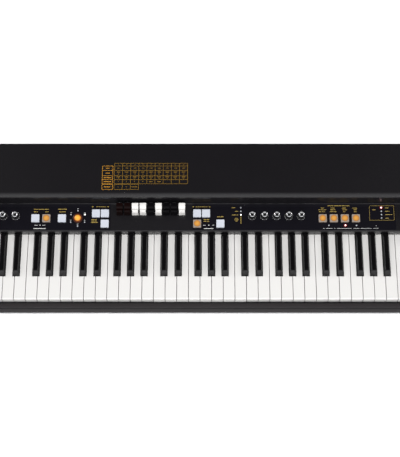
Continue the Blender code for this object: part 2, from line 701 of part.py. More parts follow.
def key_frame():
    """Folded chassis under the keys: stop rails, guide tabs, pivot bead and spine ledge."""
    base = FLOOR_Z + GAP + SHEET
    swing = PIVOT_Y - KEY_FRONT_Y
    white_stop = KEY_TOP - KEY_FRONT_HEIGHT - WHITE_TRAVEL - 2 * GAP
    black_y = KEY_FRONT_Y + WHITE_HEAD + 0.002
    black_stop = KEY_BOTTOM - WHITE_TRAVEL * (PIVOT_Y - black_y) / swing - 4 * GAP
    ledge = KEY_BOTTOM - GAP
    ledge_y = SPINE_Y + SPINE_DEPTH
    white_y = KEY_FRONT_Y + 0.001
    corners = [
        (white_y, base, 0),
        (white_y, white_stop, 0),
        (white_y + WHITE_STOP_DEPTH, white_stop, 0),
        (white_y + WHITE_STOP_DEPTH, base, 0),
        (black_y, base, 0),
        (black_y, black_stop, 0),
        (black_y + BLACK_STOP_DEPTH, black_stop, 0),
        (black_y + BLACK_STOP_DEPTH, base, 0),
        (SPINE_Y, base, 0),
        (SPINE_Y, ledge, 0),
        (ledge_y, ledge, 0),
        (ledge_y, base - SHEET, 0),
    ]
    frame = folded_sheet("key_frame", corners, SHEET, zinc_steel())
    web = bmesh.new()
    half = SHEET / 2
    radius = PIVOT_RADIUS
    arc = [(PIVOT_Y - radius * math.cos(a), PIVOT_Z + radius * math.sin(a))
           for a in (math.radians(-60 + 300 * i / 10) for i in range(11))]
    outline = [(PIVOT_Y - half, base - SHEET / 2)] + arc + [(PIVOT_Y + half, base - SHEET / 2)]
    add_prism(web, outline, "yz", -KEYS_HALF, KEYS_HALF)
    combine(frame, "UNION", "pivot_bead", web)
    tabs = bmesh.new()
    for index in range(FIRST_MOVING, LAST_MOVING + 1):
        left, right = white_edges(index)[:2]
        x = (left + right) / 2
        y = KEY_FRONT_Y + WHITE_TAB_PLACE
        top = KEY_TOP - LEVER_STEP - KEY_TOP_WALL - WHITE_TRAVEL
        add_box(tabs, (x - WHITE_TAB_HALF, y, base - SHEET / 2), (x + WHITE_TAB_HALF, y + TAB_DEPTH, top))
        if index % 7 in BLACK_SHIFT and index < LAST_MOVING:
            x = black_x(index)
            y = KEY_FRONT_Y + WHITE_HEAD + BLACK_TAB_PLACE
            top = KEY_TOP + BLACK_LEVER_RISE - KEY_TOP_WALL - BLACK_TRAVEL - 4 * GAP
            add_box(tabs, (x - BLACK_TAB_HALF, y, base - SHEET / 2), (x + BLACK_TAB_HALF, y + TAB_DEPTH, top))
    combine(frame, "UNION", "guide_tabs", tabs)
    return frame


def rear_panel():
    """Flat panel behind the cover's fold, with a window for the sockets."""
    outer = BACK_Y - SHEET - GAP
    bm = bmesh.new()
    foot = FOOT_HEIGHT + PAN_BEND + GAP
    add_box(bm, (-SHELL_HALF, outer - SHEET, foot), (SHELL_HALF, outer, DECK_Z - BACK_RADIUS - GAP))
    plate = finish("rear_panel", bm, black_paint())
    low, high = window_span()
    hole = bmesh.new()
    half = WINDOW_HEIGHT / 2
    add_box(hole, (low, outer - 0.01, SOCKET_HEIGHT - half), (high, outer + 0.01, SOCKET_HEIGHT + half))
    combine(plate, "DIFFERENCE", "socket_window", hole)
    return plate


def window_span():
    """Ends of the rear panel's window, along X."""
    last = SOCKETS[-1][1] + SOCKET_BODY["jack"] / 2
    return SWITCH_X - ROCKER_WIDTH, last + WINDOW_MARGIN


def plate_face():
    """Y of the jack plate's outer face, just inside the rear panel."""
    return BACK_Y - SHEET - GAP - SHEET - GAP


def rocker_pivot():
    """The power switch swings about this point."""
    return Vector((SWITCH_X, plate_face() - 0.001, SOCKET_HEIGHT))


def jack_board():
    """Plate, socket bodies and their board, with an open bore in each socket."""
    face = plate_face()
    low, high = window_span()
    half = WINDOW_HEIGHT / 2 + PLATE_MARGIN
    bm = bmesh.new()
    add_box(bm, (low - PLATE_MARGIN, face - SHEET, SOCKET_HEIGHT - half),
            (high + PLATE_MARGIN, face, SOCKET_HEIGHT + half))
    plate = finish("jack_board", bm, circuit_board())
    bodies = bmesh.new()
    bores = bmesh.new()
    seat = SOCKET_HEIGHT - SOCKET_BODY["din"] / 2
    for _, x, kind in SOCKETS:
        width = SOCKET_BODY[kind]
        depth = SOCKET_DEPTH[kind] + SOCKET_CASE
        add_box(bodies, (x - width / 2, face - depth, seat - SOCKET_SEAT),
                (x + width / 2, face - SHEET / 2, SOCKET_HEIGHT + width / 2))
        inner = face - SOCKET_DEPTH[kind]
        if kind == "usb":
            w, h = USB_SIZE
            add_box(bores, (x - w / 2, inner, SOCKET_HEIGHT - h / 2),
                    (x + w / 2, face + 0.01, SOCKET_HEIGHT + h / 2))
        else:
            add_rod(bores, (x, 0, SOCKET_HEIGHT), SOCKET_RADIUS[kind], inner, face + 0.01, axis="y", sides=12)
    pivot = rocker_pivot()
    side = ROCKER_WIDTH / 2
    room = face - ROCKER_DEPTH - ROCKER_ROOM
    add_box(bodies, (pivot.x - side - 2 * GAP - SHEET, room - ROCKER_CASE, seat - SOCKET_SEAT),
            (pivot.x + side + 2 * GAP + SHEET, face - SHEET / 2, SOCKET_HEIGHT + ROCKER_RADIUS + SHEET + GAP))
    rocker_half = ROCKER_RADIUS + GAP
    add_box(bores, (pivot.x - side - GAP, room, SOCKET_HEIGHT - rocker_half),
            (pivot.x + side + GAP, face + 0.01, SOCKET_HEIGHT + rocker_half))
    combine(plate, "UNION", "socket_bodies", bodies)
    board = bmesh.new()
    add_box(board, (low, face - SOCKET_BOARD_DEPTH, seat - BOARD_SHEET), (high, face - SHEET / 2, seat))
    combine(plate, "UNION", "socket_circuit", board)
    combine(plate, "DIFFERENCE", "socket_bores", bores)
    return plate


def power_switch():
    """Rocker, off: a shallow V between two round ends, swinging about its middle."""
    ends = math.radians(12)
    radius = ROCKER_RADIUS
    upper = [(radius * math.sin(a), radius * math.cos(a)) for a in (ends, 0, -ends, -2 * ends)]
    outline = [(0.0008, 0)] + upper + [(-ROCKER_DEPTH + 0.001, 0.004)]
    outline += [(y, -z) for y, z in reversed(outline[1:])]
    turn = Matrix.Rotation(math.radians(-ROCKER_TILT), 2)
    bm = bmesh.new()
    add_prism(bm, [tuple(turn @ Vector(p)) for p in outline], "yz", -ROCKER_WIDTH / 2, ROCKER_WIDTH / 2)
    return finish("power_switch", bm, moulding("black"), location=rocker_pivot())


def main_board():
    """Sound board on four pillars, behind the keys."""
    low = Vector((-BOARD_HALF, SPINE_Y + SPINE_DEPTH + BOARD_FRONT_SPACE, BOARD_HEIGHT))
    high = Vector((BOARD_HALF, BACK_Y - BOARD_BACK_SPACE, BOARD_HEIGHT + BOARD_SHEET))
    bm = bmesh.new()
    add_box(bm, low, high)
    board = finish("main_board", bm, circuit_board())
    extras = bmesh.new()
    middle = BOARD_HEIGHT + BOARD_SHEET / 2
    for x in (low.x + PILLAR_INSET, high.x - PILLAR_INSET):
        for y in (low.y + PILLAR_INSET, high.y - PILLAR_INSET):
            add_rod(extras, (x, y, 0), PILLAR_RADIUS, FLOOR_Z + GAP, middle, sides=8)
    for left, front, size in CHIPS:
        corner = Vector((low.x + left, low.y + front, middle))
        add_box(extras, corner, corner + Vector((size, size, BOARD_SHEET / 2 + CHIP_RISE)))
    combine(board, "UNION", "board_parts", extras)
    return board


def panel_board():
    """Board under the control panel with a switch or pot under each control."""
    top = -BOARD_DROP
    left = KNOBS[0][1] - BOARD_MARGIN
    right = BUTTONS[-1][1] + BOARD_MARGIN
    bm = bmesh.new()
    add_box(bm, (left, BOARD_FRONT, top - BOARD_SHEET), (right, WALL_ROW - BOARD_BACK, top))
    board = finish("panel_board", bm, circuit_board(), panel)
    bodies = bmesh.new()
    bores = bmesh.new()
    root = top - BOARD_SHEET / 2
    switches = [(x, row) for _, x, row, _ in BUTTONS] + [(SELECTOR_X, SELECTOR_ROW)]
    for x, row in switches:
        half = SWITCH_SIZE / 2
        add_box(bodies, (x - half, row - half, root), (x + half, row + half, top + SWITCH_HEIGHT))
        half = BUTTON_STEM / 2 + GAP
        add_box(bores, (x - half, row - half, top + 0.001), (x + half, row + half, 0))
    for _, x in KNOBS:
        half = POT_SIZE / 2
        add_box(bodies, (x - half, KNOB_ROW - half, root), (x + half, KNOB_ROW + half, top + POT_HEIGHT))
        add_rod(bores, (x, KNOB_ROW, 0), SHAFT_RADIUS + SHAFT_SPACE, top + 0.0006, 0)
    for x in (left + 0.008, SELECTOR_X + 0.018, DRAWBAR_X, 0.080, 0.235, right - 0.004):
        add_rod(bodies, (x, WALL_ROW - POST_ROW, 0), POST_RADIUS, root, -SHEET - GAP, sides=8)
    combine(board, "UNION", "board_bodies", bodies, panel)
    combine(board, "DIFFERENCE", "board_bores", bores, panel)
    return board


def drawbar_guide():
    """Block behind the wall that carries the nine bars, hung from the deck by two ears."""
    front = WALL_Y + SHEET + GAP
    back = front + GUIDE_DEPTH
    half = 4 * DRAWBAR_PITCH + BAR_WIDTH / 2 + GUIDE_WALL
    low = WALL_FOOT_Z + BAR_BOTTOM - GUIDE_WALL
    high = WALL_FOOT_Z + BAR_BOTTOM + BAR_SHEET + GUIDE_DEPTH * math.tan(TILT) + GUIDE_WALL
    bm = bmesh.new()
    add_box(bm, (DRAWBAR_X - half, front, low), (DRAWBAR_X + half, back, high))
    guide = finish("drawbar_guide", bm, moulding("black"))
    ears = bmesh.new()
    for side in (-1, 1):
        x = sorted((DRAWBAR_X + side * half, DRAWBAR_X + side * (half - GUIDE_WALL + 0.0005)))
        add_box(ears, (x[0], front + EAR_INSET, high - 0.002), (x[1], back - EAR_INSET, DECK_Z - SHEET - GAP))
    combine(guide, "UNION", "guide_ears", ears)
    combine(guide, "DIFFERENCE", "guide_channels", drawbar_channels(), panel)
    return guide


def cap_sections():
    """Drawbar cap from front to back: (distance, width, height)."""
    return [
        (0.0, CAP_WIDTH, CAP_BOTTOM + 0.004),
        (0.0012, CAP_WIDTH, CAP_TOP - 0.0035),
        (0.0028, CAP_WIDTH, CAP_TOP - 0.0006),
        (0.0050, CAP_WIDTH, CAP_TOP),
        (0.0068, (CAP_WIDTH + CAP_WAIST) / 2, CAP_TOP - CAP_SCOOP * 0.7),
        (0.0090, CAP_WAIST, CAP_TOP - CAP_SCOOP),
        (0.0115, (CAP_WIDTH + CAP_WAIST) / 2, CAP_TOP - CAP_SCOOP * 0.5),
        (0.0140, CAP_WIDTH, CAP_TOP),
        (CAP_LENGTH - 0.0010, CAP_WIDTH, CAP_TOP),
        (CAP_LENGTH, CAP_WIDTH - 0.0010, CAP_TOP - 0.0010),
    ]


def drawbar(index):
    """Cap with a scooped top on a flat bar that slides in the guide."""
    rings = []
    for y, width, top in cap_sections():
        half = width / 2
        rings.append([
            (-half, y, CAP_BOTTOM), (half, y, CAP_BOTTOM),
            (half, y, top - CAP_EDGE), (half - CAP_EDGE, y, top),
            (CAP_EDGE - half, y, top), (-half, y, top - CAP_EDGE),
        ])
    bm = bmesh.new()
    add_loft(bm, rings)
    place = (drawbar_x(index), CAP_FRONT, 0)
    cap = finish(f"drawbar_{index + 1}", bm, moulding(DRAWBAR_COLOURS[index]), panel, place)
    bar = bmesh.new()
    back = WALL_ROW - CAP_FRONT + SHEET + BAR_LENGTH
    add_box(bar, (-BAR_WIDTH / 2, CAP_LENGTH - BAR_OVERLAP, BAR_BOTTOM),
            (BAR_WIDTH / 2, back, BAR_BOTTOM + BAR_SHEET))
    combine(cap, "UNION", f"bar_{index + 1}", bar, panel, place)
    return cap


def square_ring(half, corner, z):
    """Square outline with cut corners, at a height."""
    inner = half - corner
    return [(-half, -inner, z), (-inner, -half, z), (inner, -half, z), (half, -inner, z),
            (half, inner, z), (inner, half, z), (-inner, half, z), (-half, inner, z)]


def button(name, x, row, tone):
    """Square cap on a square stem; the stem rides in its switch."""
    half = BUTTON_SIZE / 2
    stem = BUTTON_STEM / 2
    foot = -(CAP_SKIRT + BUTTON_STEM_LENGTH)
    bm = bmesh.new()
    add_loft(bm, [
        square_ring(stem, STEM_CORNER, foot),
        square_ring(stem, STEM_CORNER, -CAP_SKIRT),
        square_ring(half, BUTTON_CORNER, -CAP_SKIRT),
        square_ring(half, BUTTON_CORNER, BUTTON_RISE - BUTTON_EASE),
        square_ring(half - BUTTON_EASE, BUTTON_CORNER, BUTTON_RISE),
    ])
    return finish(name, bm, moulding(tone), panel, (x, row, 0))


def selector():
    """Round push selector with a raised lens."""
    foot = -(CAP_SKIRT + BUTTON_STEM_LENGTH)
    profile = [
        (0, foot),
        (BUTTON_STEM / 2, foot),
        (BUTTON_STEM / 2, -CAP_SKIRT),
        (SELECTOR_RADIUS, -CAP_SKIRT),
        (SELECTOR_RADIUS, BUTTON_RISE - 0.0020),
        (SELECTOR_RADIUS - 0.0010, BUTTON_RISE - 0.0010),
        (LENS_RADIUS, BUTTON_RISE - 0.0010),
        (LENS_RADIUS - 0.0004, BUTTON_RISE + 0.0006),
        (LENS_RADIUS * 0.6, BUTTON_RISE + 0.0014),
        (0, BUTTON_RISE + 0.0018),
    ]
    bm = bmesh.new()
    add_turning(bm, profile)
    place = (SELECTOR_X, SELECTOR_ROW, 0)
    return finish("vibrato_selector", bm, moulding("amber"), panel, place, smooth=True)


def knob(name, x):
    """Skirted knob with a straight grip, on its shaft."""
    top = KNOB_HEIGHT
    profile = [
        (0, -SHAFT_DEPTH),
        (SHAFT_RADIUS, -SHAFT_DEPTH),
        (SHAFT_RADIUS, KNOB_FLOAT),
        (KNOB_RADIUS, KNOB_FLOAT),
        (KNOB_RADIUS, KNOB_FLOAT + 0.0016),
        (KNOB_GRIP_RADIUS + 0.0006, KNOB_FLOAT + 0.0034),
        (KNOB_GRIP_RADIUS, top - 0.0010),
        (KNOB_GRIP_RADIUS - 0.0010, top),
        (0, top),
    ]
    bm = bmesh.new()
    add_turning(bm, profile)
    return finish(name, bm, moulding("black"), panel, (x, KNOB_ROW, 0), smooth=True)


top_cover()
bottom_pan()
front_rail()
cheek("cheek_left", -1)
cheek("cheek_right", 1)
rear_panel()
key_frame()
keyboard()
panel_board()
main_board()
jack_board()
power_switch()
drawbar_guide()
for number in range(len(DRAWBAR_COLOURS)):
    drawbar(number)
for label, place, distance, shade in BUTTONS:
    button(label, place, distance, shade)
selector()
for label, place in KNOBS:
    knob(label, place)
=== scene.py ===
import json
import math

import bmesh
import bpy
from mathutils import Matrix, Vector

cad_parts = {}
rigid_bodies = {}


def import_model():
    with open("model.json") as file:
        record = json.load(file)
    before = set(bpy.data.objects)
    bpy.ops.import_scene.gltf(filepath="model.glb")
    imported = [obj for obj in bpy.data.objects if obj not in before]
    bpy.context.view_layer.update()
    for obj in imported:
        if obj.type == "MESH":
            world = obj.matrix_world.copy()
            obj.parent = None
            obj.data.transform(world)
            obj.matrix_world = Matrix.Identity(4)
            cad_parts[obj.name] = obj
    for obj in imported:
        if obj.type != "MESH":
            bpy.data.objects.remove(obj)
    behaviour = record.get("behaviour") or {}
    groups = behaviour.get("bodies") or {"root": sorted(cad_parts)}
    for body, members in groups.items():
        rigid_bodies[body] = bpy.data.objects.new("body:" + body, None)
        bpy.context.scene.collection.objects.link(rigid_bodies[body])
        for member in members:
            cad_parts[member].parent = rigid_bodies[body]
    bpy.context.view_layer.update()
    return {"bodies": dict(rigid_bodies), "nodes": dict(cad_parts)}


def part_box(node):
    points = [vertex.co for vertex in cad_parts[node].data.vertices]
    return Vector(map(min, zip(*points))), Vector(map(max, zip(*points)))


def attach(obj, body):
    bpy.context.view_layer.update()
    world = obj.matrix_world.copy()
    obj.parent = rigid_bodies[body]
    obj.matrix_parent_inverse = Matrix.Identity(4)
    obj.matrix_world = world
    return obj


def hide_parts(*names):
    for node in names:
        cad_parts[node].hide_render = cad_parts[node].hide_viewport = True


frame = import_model()
nodes = frame["nodes"]
scene = bpy.context.scene


# The setting: a pale studio floor, seen from the player's side and from high above, 67 degrees over
# the horizon. One soft lamp hangs overhead, one stands in front and two behind, to the left and right.
# The room is brighter on the player's side, which gives the bends and edges their shine.
CAMERA_PLACE = (0, -1.0429, 2.5156)
CAMERA_TILT = math.radians(23)
FLOOR_HALF = 8
LAMP_TARGET = 0.06           # height of the point that the lamps shine at
LAMPS = [                    # place, the depth that it shines at, size, power, and whether its shine shows
    ("overhead_lamp", (0, -0.30, 2.5), -0.30, (0.8, 0.25), 60, False),
    ("front_lamp", (0, -2.4, 1.2), 0, (2.0, 0.6), 36, False),
    ("left_lamp", (-1.9, 1.0, 1.65), 0, (1.0, 1.0), 20, True),
    ("right_lamp", (1.9, 1.0, 1.65), 0, (1.0, 1.0), 18, True),
]


def shader_node(tree, kind, choices=(), **sockets):
    """Add a shader node, make its choices and then set the values of its sockets."""
    made = tree.nodes.new("ShaderNode" + kind)
    for name, value in dict(choices).items():
        setattr(made, name, value)
    for name, value in sockets.items():
        made.inputs[name.replace("_", " ")].default_value = value
    return made


def wire(tree, *joins):
    """Join shader nodes, each time an output of one to a socket of another."""
    for source, output, target, socket in joins:
        tree.links.new(source.outputs[output], target.inputs[socket])


camera_data = bpy.data.cameras.new("camera")
camera_data.sensor_width = 36
camera_data.lens = 102.2
camera_data.clip_end = 30
camera = bpy.data.objects.new("camera", camera_data)
camera.location = CAMERA_PLACE
camera.rotation_euler = (CAMERA_TILT, 0, 0)
scene.collection.objects.link(camera)
scene.camera = camera
scene.view_settings.view_transform = "Standard"

floor_shape = bmesh.new()
bmesh.ops.create_grid(floor_shape, x_segments=1, y_segments=1, size=FLOOR_HALF)
floor_mesh = bpy.data.meshes.new("studio_floor")
floor_shape.to_mesh(floor_mesh)
floor_shape.free()
floor = bpy.data.objects.new("studio_floor", floor_mesh)
floor_paint = bpy.data.materials.new("pale_floor")
floor_paint.use_nodes = True
paint_shader = floor_paint.node_tree.nodes["Principled BSDF"]
paint_shader.inputs["Base Color"].default_value = (0.85, 0.85, 0.85, 1)
paint_shader.inputs["Roughness"].default_value = 0.9
floor_mesh.materials.append(floor_paint)
scene.collection.objects.link(floor)

room = bpy.data.worlds.new("studio")
room.use_nodes = True
walls = room.node_tree
backdrop = walls.nodes["Background"]
backdrop.inputs["Color"].default_value = (0.98, 0.98, 1, 1)
direction = shader_node(walls, "TexCoord")
axes = shader_node(walls, "SeparateXYZ")
glow = shader_node(walls, "MapRange", {"interpolation_type": "SMOOTHSTEP"},
                   From_Min=-1, From_Max=0.38, To_Min=1.34, To_Max=0.05)
wire(walls, (direction, "Generated", axes, "Vector"), (axes, "Y", glow, "Value"),
     (glow, "Result", backdrop, "Strength"))
scene.world = room

for name, place, target, size, power, shines in LAMPS:
    lamp_data = bpy.data.lights.new(name, "AREA")
    lamp_data.shape = "RECTANGLE"
    lamp_data.size, lamp_data.size_y = size
    lamp_data.energy = power
    lamp = bpy.data.objects.new(name, lamp_data)
    lamp.location = place
    aim = Vector((0, target, LAMP_TARGET)) - lamp.location
    lamp.rotation_euler = aim.to_track_quat("-Z", "Y").to_euler()
    lamp.visible_camera = False
    lamp.visible_glossy = shines
    scene.collection.objects.link(lamp)


# Bottom pan: black coated steel sheet, folded up at the front and back, on four rubber feet.
# Cross-head screws hold the feet, the pan and the frame above it.
SHEET = 0.0015
FLOOR_Z = 0.008
PAN_RISE, PAN_BEND = 0.014, 0.003
RAIL_SHEET = 0.002
GAP = 0.0003
FEET = [(x, y) for x in (-0.360, 0.360) for y in (-0.1254, 0.1254)]
FOOT_RADIUS, FOOT_TOP_RADIUS, FOOT_EASING = 0.0105, 0.012, 0.0012
FOOT_RIM, FOOT_RECESS = 0.0042, 0.0035
PAN_SCREWS = [(x, y) for x in (-0.412, -0.206, 0, 0.206, 0.412) for y in (-0.150, 0.150)]
PAN_SCREWS += [(x, y) for x in (-0.412, 0.412) for y in (-0.05, 0.05)]
SCREW_RADIUS, SCREW_HEIGHT, SCREW_EASING = 0.003, 0.0016, 0.0008
CROSS_REACH, CROSS_HALF, CROSS_FLOOR, CROSS_TOP = 0.0017, 0.00032, 0.0008, 0.003
CROSS_TURN = 20
SCREW_TWIST = 1.3            # each screw of a set is turned this much further than the last
cover_low, cover_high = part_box("top_cover")
rail_low, rail_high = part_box("front_rail")
LIP_Y, BACK_Y, DECK_Z = cover_low.y, cover_high.y, cover_high.z
FRONT_Y, RAIL_TOP, SHELL_HALF = rail_low.y, rail_high.z, rail_high.x


def surface(name, colour, roughness, grain=900, relief=0.00002, drift=0.12, stretch=(1, 1, 1), **values):
    """A material with a fine grain in its gloss and relief and a slow drift in its colour."""
    mat = bpy.data.materials.new(name)
    mat.use_nodes = True
    tree = mat.node_tree
    shader = tree.nodes["Principled BSDF"]
    place = shader_node(tree, "TexCoord")
    size = shader_node(tree, "Mapping", Scale=stretch)
    fine = shader_node(tree, "TexNoise", Scale=grain, Detail=3)
    broad = shader_node(tree, "TexNoise", Scale=14, Detail=4)
    tone = shader_node(tree, "Mix", {"data_type": "RGBA"}, A=(*[c * (1 - drift) for c in colour], 1),
                       B=(*[min(1, c * (1 + drift)) for c in colour], 1))
    gloss = shader_node(tree, "MapRange", To_Min=roughness * 0.85, To_Max=roughness * 1.15)
    bump = shader_node(tree, "Bump", Strength=0.6, Distance=relief)
    wire(tree, (place, "Object", size, "Vector"), (size, "Vector", fine, "Vector"),
         (size, "Vector", broad, "Vector"), (broad, "Fac", tone, "Factor"),
         (tone, "Result", shader, "Base Color"), (fine, "Fac", gloss, "Value"),
         (gloss, "Result", shader, "Roughness"), (fine, "Fac", bump, "Height"),
         (bump, "Normal", shader, "Normal"))
    for socket, value in values.items():
        shader.inputs[socket.replace("_", " ")].default_value = value
    return mat


def soften(obj, corner=35):
    """Smooth shading up to an angle, with flat faces kept flat."""
    obj.data.shade_smooth()
    obj.data.set_sharp_from_angle(angle=math.radians(corner))
    even = obj.modifiers.new("even_shading", "WEIGHTED_NORMAL")
    even.keep_sharp = True


def piece(name, shape, finish, body="case", corner=35):
    """Make a bmesh a named piece that rides on a body."""
    mesh = bpy.data.meshes.new(name)
    shape.to_mesh(mesh)
    shape.free()
    mesh.materials.append(finish)
    obj = bpy.data.objects.new(name, mesh)
    scene.collection.objects.link(obj)
    soften(obj, corner)
    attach(obj, body)
    return obj


def cut_away(obj, shape):
    """Take the solid of a bmesh out of a piece, once its sheet has its thickness."""
    knife_mesh = bpy.data.meshes.new("knife")
    shape.to_mesh(knife_mesh)
    shape.free()
    knife = bpy.data.objects.new("knife", knife_mesh)
    scene.collection.objects.link(knife)
    obj.modifiers.remove(obj.modifiers["even_shading"])
    cut = obj.modifiers.new("cut", "BOOLEAN")
    cut.operation = "DIFFERENCE"
    cut.solver = "EXACT"
    cut.object = knife
    bpy.context.view_layer.update()
    done = obj.evaluated_get(bpy.context.evaluated_depsgraph_get())
    mesh = bpy.data.meshes.new_from_object(done)
    obj.modifiers.clear()
    obj.data = mesh
    bpy.data.objects.remove(knife)
    soften(obj)


def box_in(shape, low, high, place=Matrix()):
    """Add a block to a bmesh and return its vertices."""
    low, high = Vector(low), Vector(high)
    place = place @ Matrix.Translation((low + high) / 2) @ Matrix.Diagonal((*(high - low), 1))
    return bmesh.ops.create_cube(shape, size=1, matrix=place)["verts"]


def rod_in(shape, centre, radius, depth, place=Matrix(), sides=32, tip=None):
    """Add a rod that stands on its centre and return its vertices."""
    middle = Matrix.Translation(Vector(centre) + Vector((0, 0, depth / 2)))
    made = bmesh.ops.create_cone(shape, cap_ends=True, segments=sides, radius1=radius,
                                 radius2=radius if tip is None else tip, depth=depth, matrix=place @ middle)
    return made["verts"]


def verts_of(geom):
    return [v for v in geom if isinstance(v, bmesh.types.BMVert)]


def edges_of(verts):
    return list(dict.fromkeys(e for v in verts for e in v.link_edges))


def added(shape, before):
    """The vertices that a shape has gained since an earlier set."""
    return [v for v in shape.verts if v not in before]


def put(shape, place, verts=None):
    """Bring a shape, or some of its vertices, to their place."""
    bmesh.ops.transform(shape, matrix=place, verts=shape.verts if verts is None else verts)


def ease(shape, edges, offset, steps, **limits):
    """Round edges off."""
    bmesh.ops.bevel(shape, geom=edges, offset=offset, segments=steps, profile=0.5, affect="EDGES",
                    material=-1, **limits)


def round_fold(shape, corners, index, radius, steps=8):
    """Round the fold that runs from side to side through one corner of a side view."""
    before, here, after = (Vector(corner[:2]) for corner in corners[index - 1:index + 2])
    turn = (here - before).angle(after - here)
    fold = [e for e in shape.edges if all((v.co.yz - here).length < 1e-6 for v in e.verts)]
    ease(shape, fold, radius * math.tan(turn / 2), steps)


def bent_sheet(name, corners, bends, thickness, finish):
    """A strip along the corners, its bends rounded, then given its thickness on the inside."""
    shape = bmesh.new()
    row = [shape.verts.new((-SHELL_HALF, y, z)) for y, z in corners]
    strip = [shape.edges.new(pair) for pair in zip(row, row[1:])]
    grown = bmesh.ops.extrude_edge_only(shape, edges=strip)["geom"]
    bmesh.ops.translate(shape, verts=verts_of(grown), vec=(2 * SHELL_HALF, 0, 0))
    for index, radius in bends:
        round_fold(shape, corners, index, radius)
    obj = piece(name, shape, finish)
    obj.modifiers.clear()
    wall = obj.modifiers.new("sheet", "SOLIDIFY")
    wall.thickness = thickness
    wall.offset = -1
    wall.use_even_offset = True
    soften(obj)
    return obj


black_coat = surface("black_powder_coat", (0.0046, 0.0041, 0.0050), 0.28, grain=1600, Specular_IOR_Level=0.5)
pan_front = FRONT_Y + RAIL_SHEET + GAP
pan = bent_sheet("bottom_pan_sheet", [
    (BACK_Y, FLOOR_Z + PAN_RISE), (BACK_Y, FLOOR_Z), (pan_front, FLOOR_Z), (pan_front, FLOOR_Z + PAN_RISE),
], [(1, PAN_BEND), (2, PAN_BEND)], SHEET, black_coat)
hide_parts("bottom_pan")

rubber = surface("black_rubber", (0.012, 0.012, 0.012), 0.75, grain=700, relief=0.00005)
feet = bmesh.new()
for x, y in FEET:
    foot = rod_in(feet, (x, y, 0), FOOT_RADIUS, FLOOR_Z - 0.00005, tip=FOOT_TOP_RADIUS)
    rim = [e for e in edges_of(foot) if all(v.co.z < 1e-6 for v in e.verts)]
    ease(feet, rim, FOOT_EASING, 3)
    under = [f for f in feet.faces if f.normal.z < -0.99 and f.calc_center_median().z < 1e-5
             and (f.calc_center_median().xy - Vector((x, y))).length < 0.001]
    bmesh.ops.inset_region(feet, faces=under, thickness=FOOT_RIM)
    sunk = bmesh.ops.extrude_face_region(feet, geom=under)["geom"]
    bmesh.ops.translate(feet, verts=verts_of(sunk), vec=(0, 0, FOOT_RECESS))
    bmesh.ops.delete(feet, geom=under, context="FACES_ONLY")
piece("rubber_feet", feet, rubber)

zinc = surface("zinc_plated_steel", (0.50, 0.51, 0.53), 0.32, grain=260, drift=0.2, Metallic=1.0)
black_zinc = surface("black_zinc_screw", (0.03, 0.03, 0.032), 0.35, Metallic=0.8)


def screw_shape():
    """A pan-head screw with a cross recess, on its seat at the origin."""
    shape = bmesh.new()
    rod_in(shape, (0, 0, 0), SCREW_RADIUS, SCREW_HEIGHT, sides=20)
    rim = [e for e in shape.edges if all(v.co.z > 0.9 * SCREW_HEIGHT for v in e.verts)]
    ease(shape, rim, SCREW_EASING, 3)
    pattern = piece("screw_pattern", shape, zinc)
    for angle in (CROSS_TURN, CROSS_TURN + 90):
        arm = bmesh.new()
        box_in(arm, (-CROSS_REACH, -CROSS_HALF, CROSS_FLOOR), (CROSS_REACH, CROSS_HALF, CROSS_TOP),
               Matrix.Rotation(math.radians(angle), 4, "Z"))
        cut_away(pattern, arm)
    mesh = pattern.data
    bpy.data.objects.remove(pattern)
    return mesh


SCREW = screw_shape()


def screws(name, places, facing, finish, size=1.0):
    """A set of screws, each turned a little differently, with their heads facing one way."""
    shape = bmesh.new()
    turn = Vector((0, 0, 1)).rotation_difference(Vector(facing)).to_matrix().to_4x4()
    for count, place in enumerate(places):
        before = set(shape.verts)
        shape.from_mesh(SCREW)
        twist = Matrix.Rotation(count * SCREW_TWIST, 4, "Z")
        put(shape, Matrix.Translation(place) @ turn @ twist @ Matrix.Scale(size, 4), added(shape, before))
    return piece(name, shape, finish)


screws("foot_screws", [(x, y, FOOT_RECESS) for x, y in FEET], (0, 0, -1), zinc)
screws("pan_screws", [(x, y, FLOOR_Z) for x, y in PAN_SCREWS], (0, 0, -1), black_zinc)


# Inner works on the pan: the zinc-plated key frame with its stop rails and pivot bead, the sound board
# on four pillars, the board under the control panel, and the black guide of the drawbars.
def dress(node, finish):
    """Give a CAD piece its finish."""
    nodes[node].material_slots[0].material = finish


def board_green(name):
    """Green circuit board with a net of copper tracks under its lacquer."""
    mat = surface(name, (0.010, 0.075, 0.028), 0.32)
    tree = mat.node_tree
    tracks = shader_node(tree, "TexVoronoi", {"distance": "MANHATTAN", "feature": "DISTANCE_TO_EDGE"},
                         Scale=160)
    lines = shader_node(tree, "MapRange", From_Max=0.05)
    blend = shader_node(tree, "Mix", {"data_type": "RGBA"}, A=(0.05, 0.20, 0.06, 1))
    wire(tree, (tree.nodes["Texture Coordinate"], "Object", tracks, "Vector"),
         (tracks, "Distance", lines, "Value"), (lines, "Result", blend, "Factor"),
         (tree.nodes["Mix"], "Result", blend, "B"),
         (blend, "Result", tree.nodes["Principled BSDF"], "Base Color"))
    return mat


black_plastic = surface("black_plastic", (0.010, 0.010, 0.011), 0.45, grain=1500, relief=0.00004)
board_lacquer = board_green("board_lacquer")
dark_lacquer = surface("dark_board_lacquer", (0.004, 0.010, 0.007), 0.35)
dress("key_frame", zinc)
dress("main_board", board_lacquer)
dress("panel_board", dark_lacquer)
dress("drawbar_guide", black_plastic)


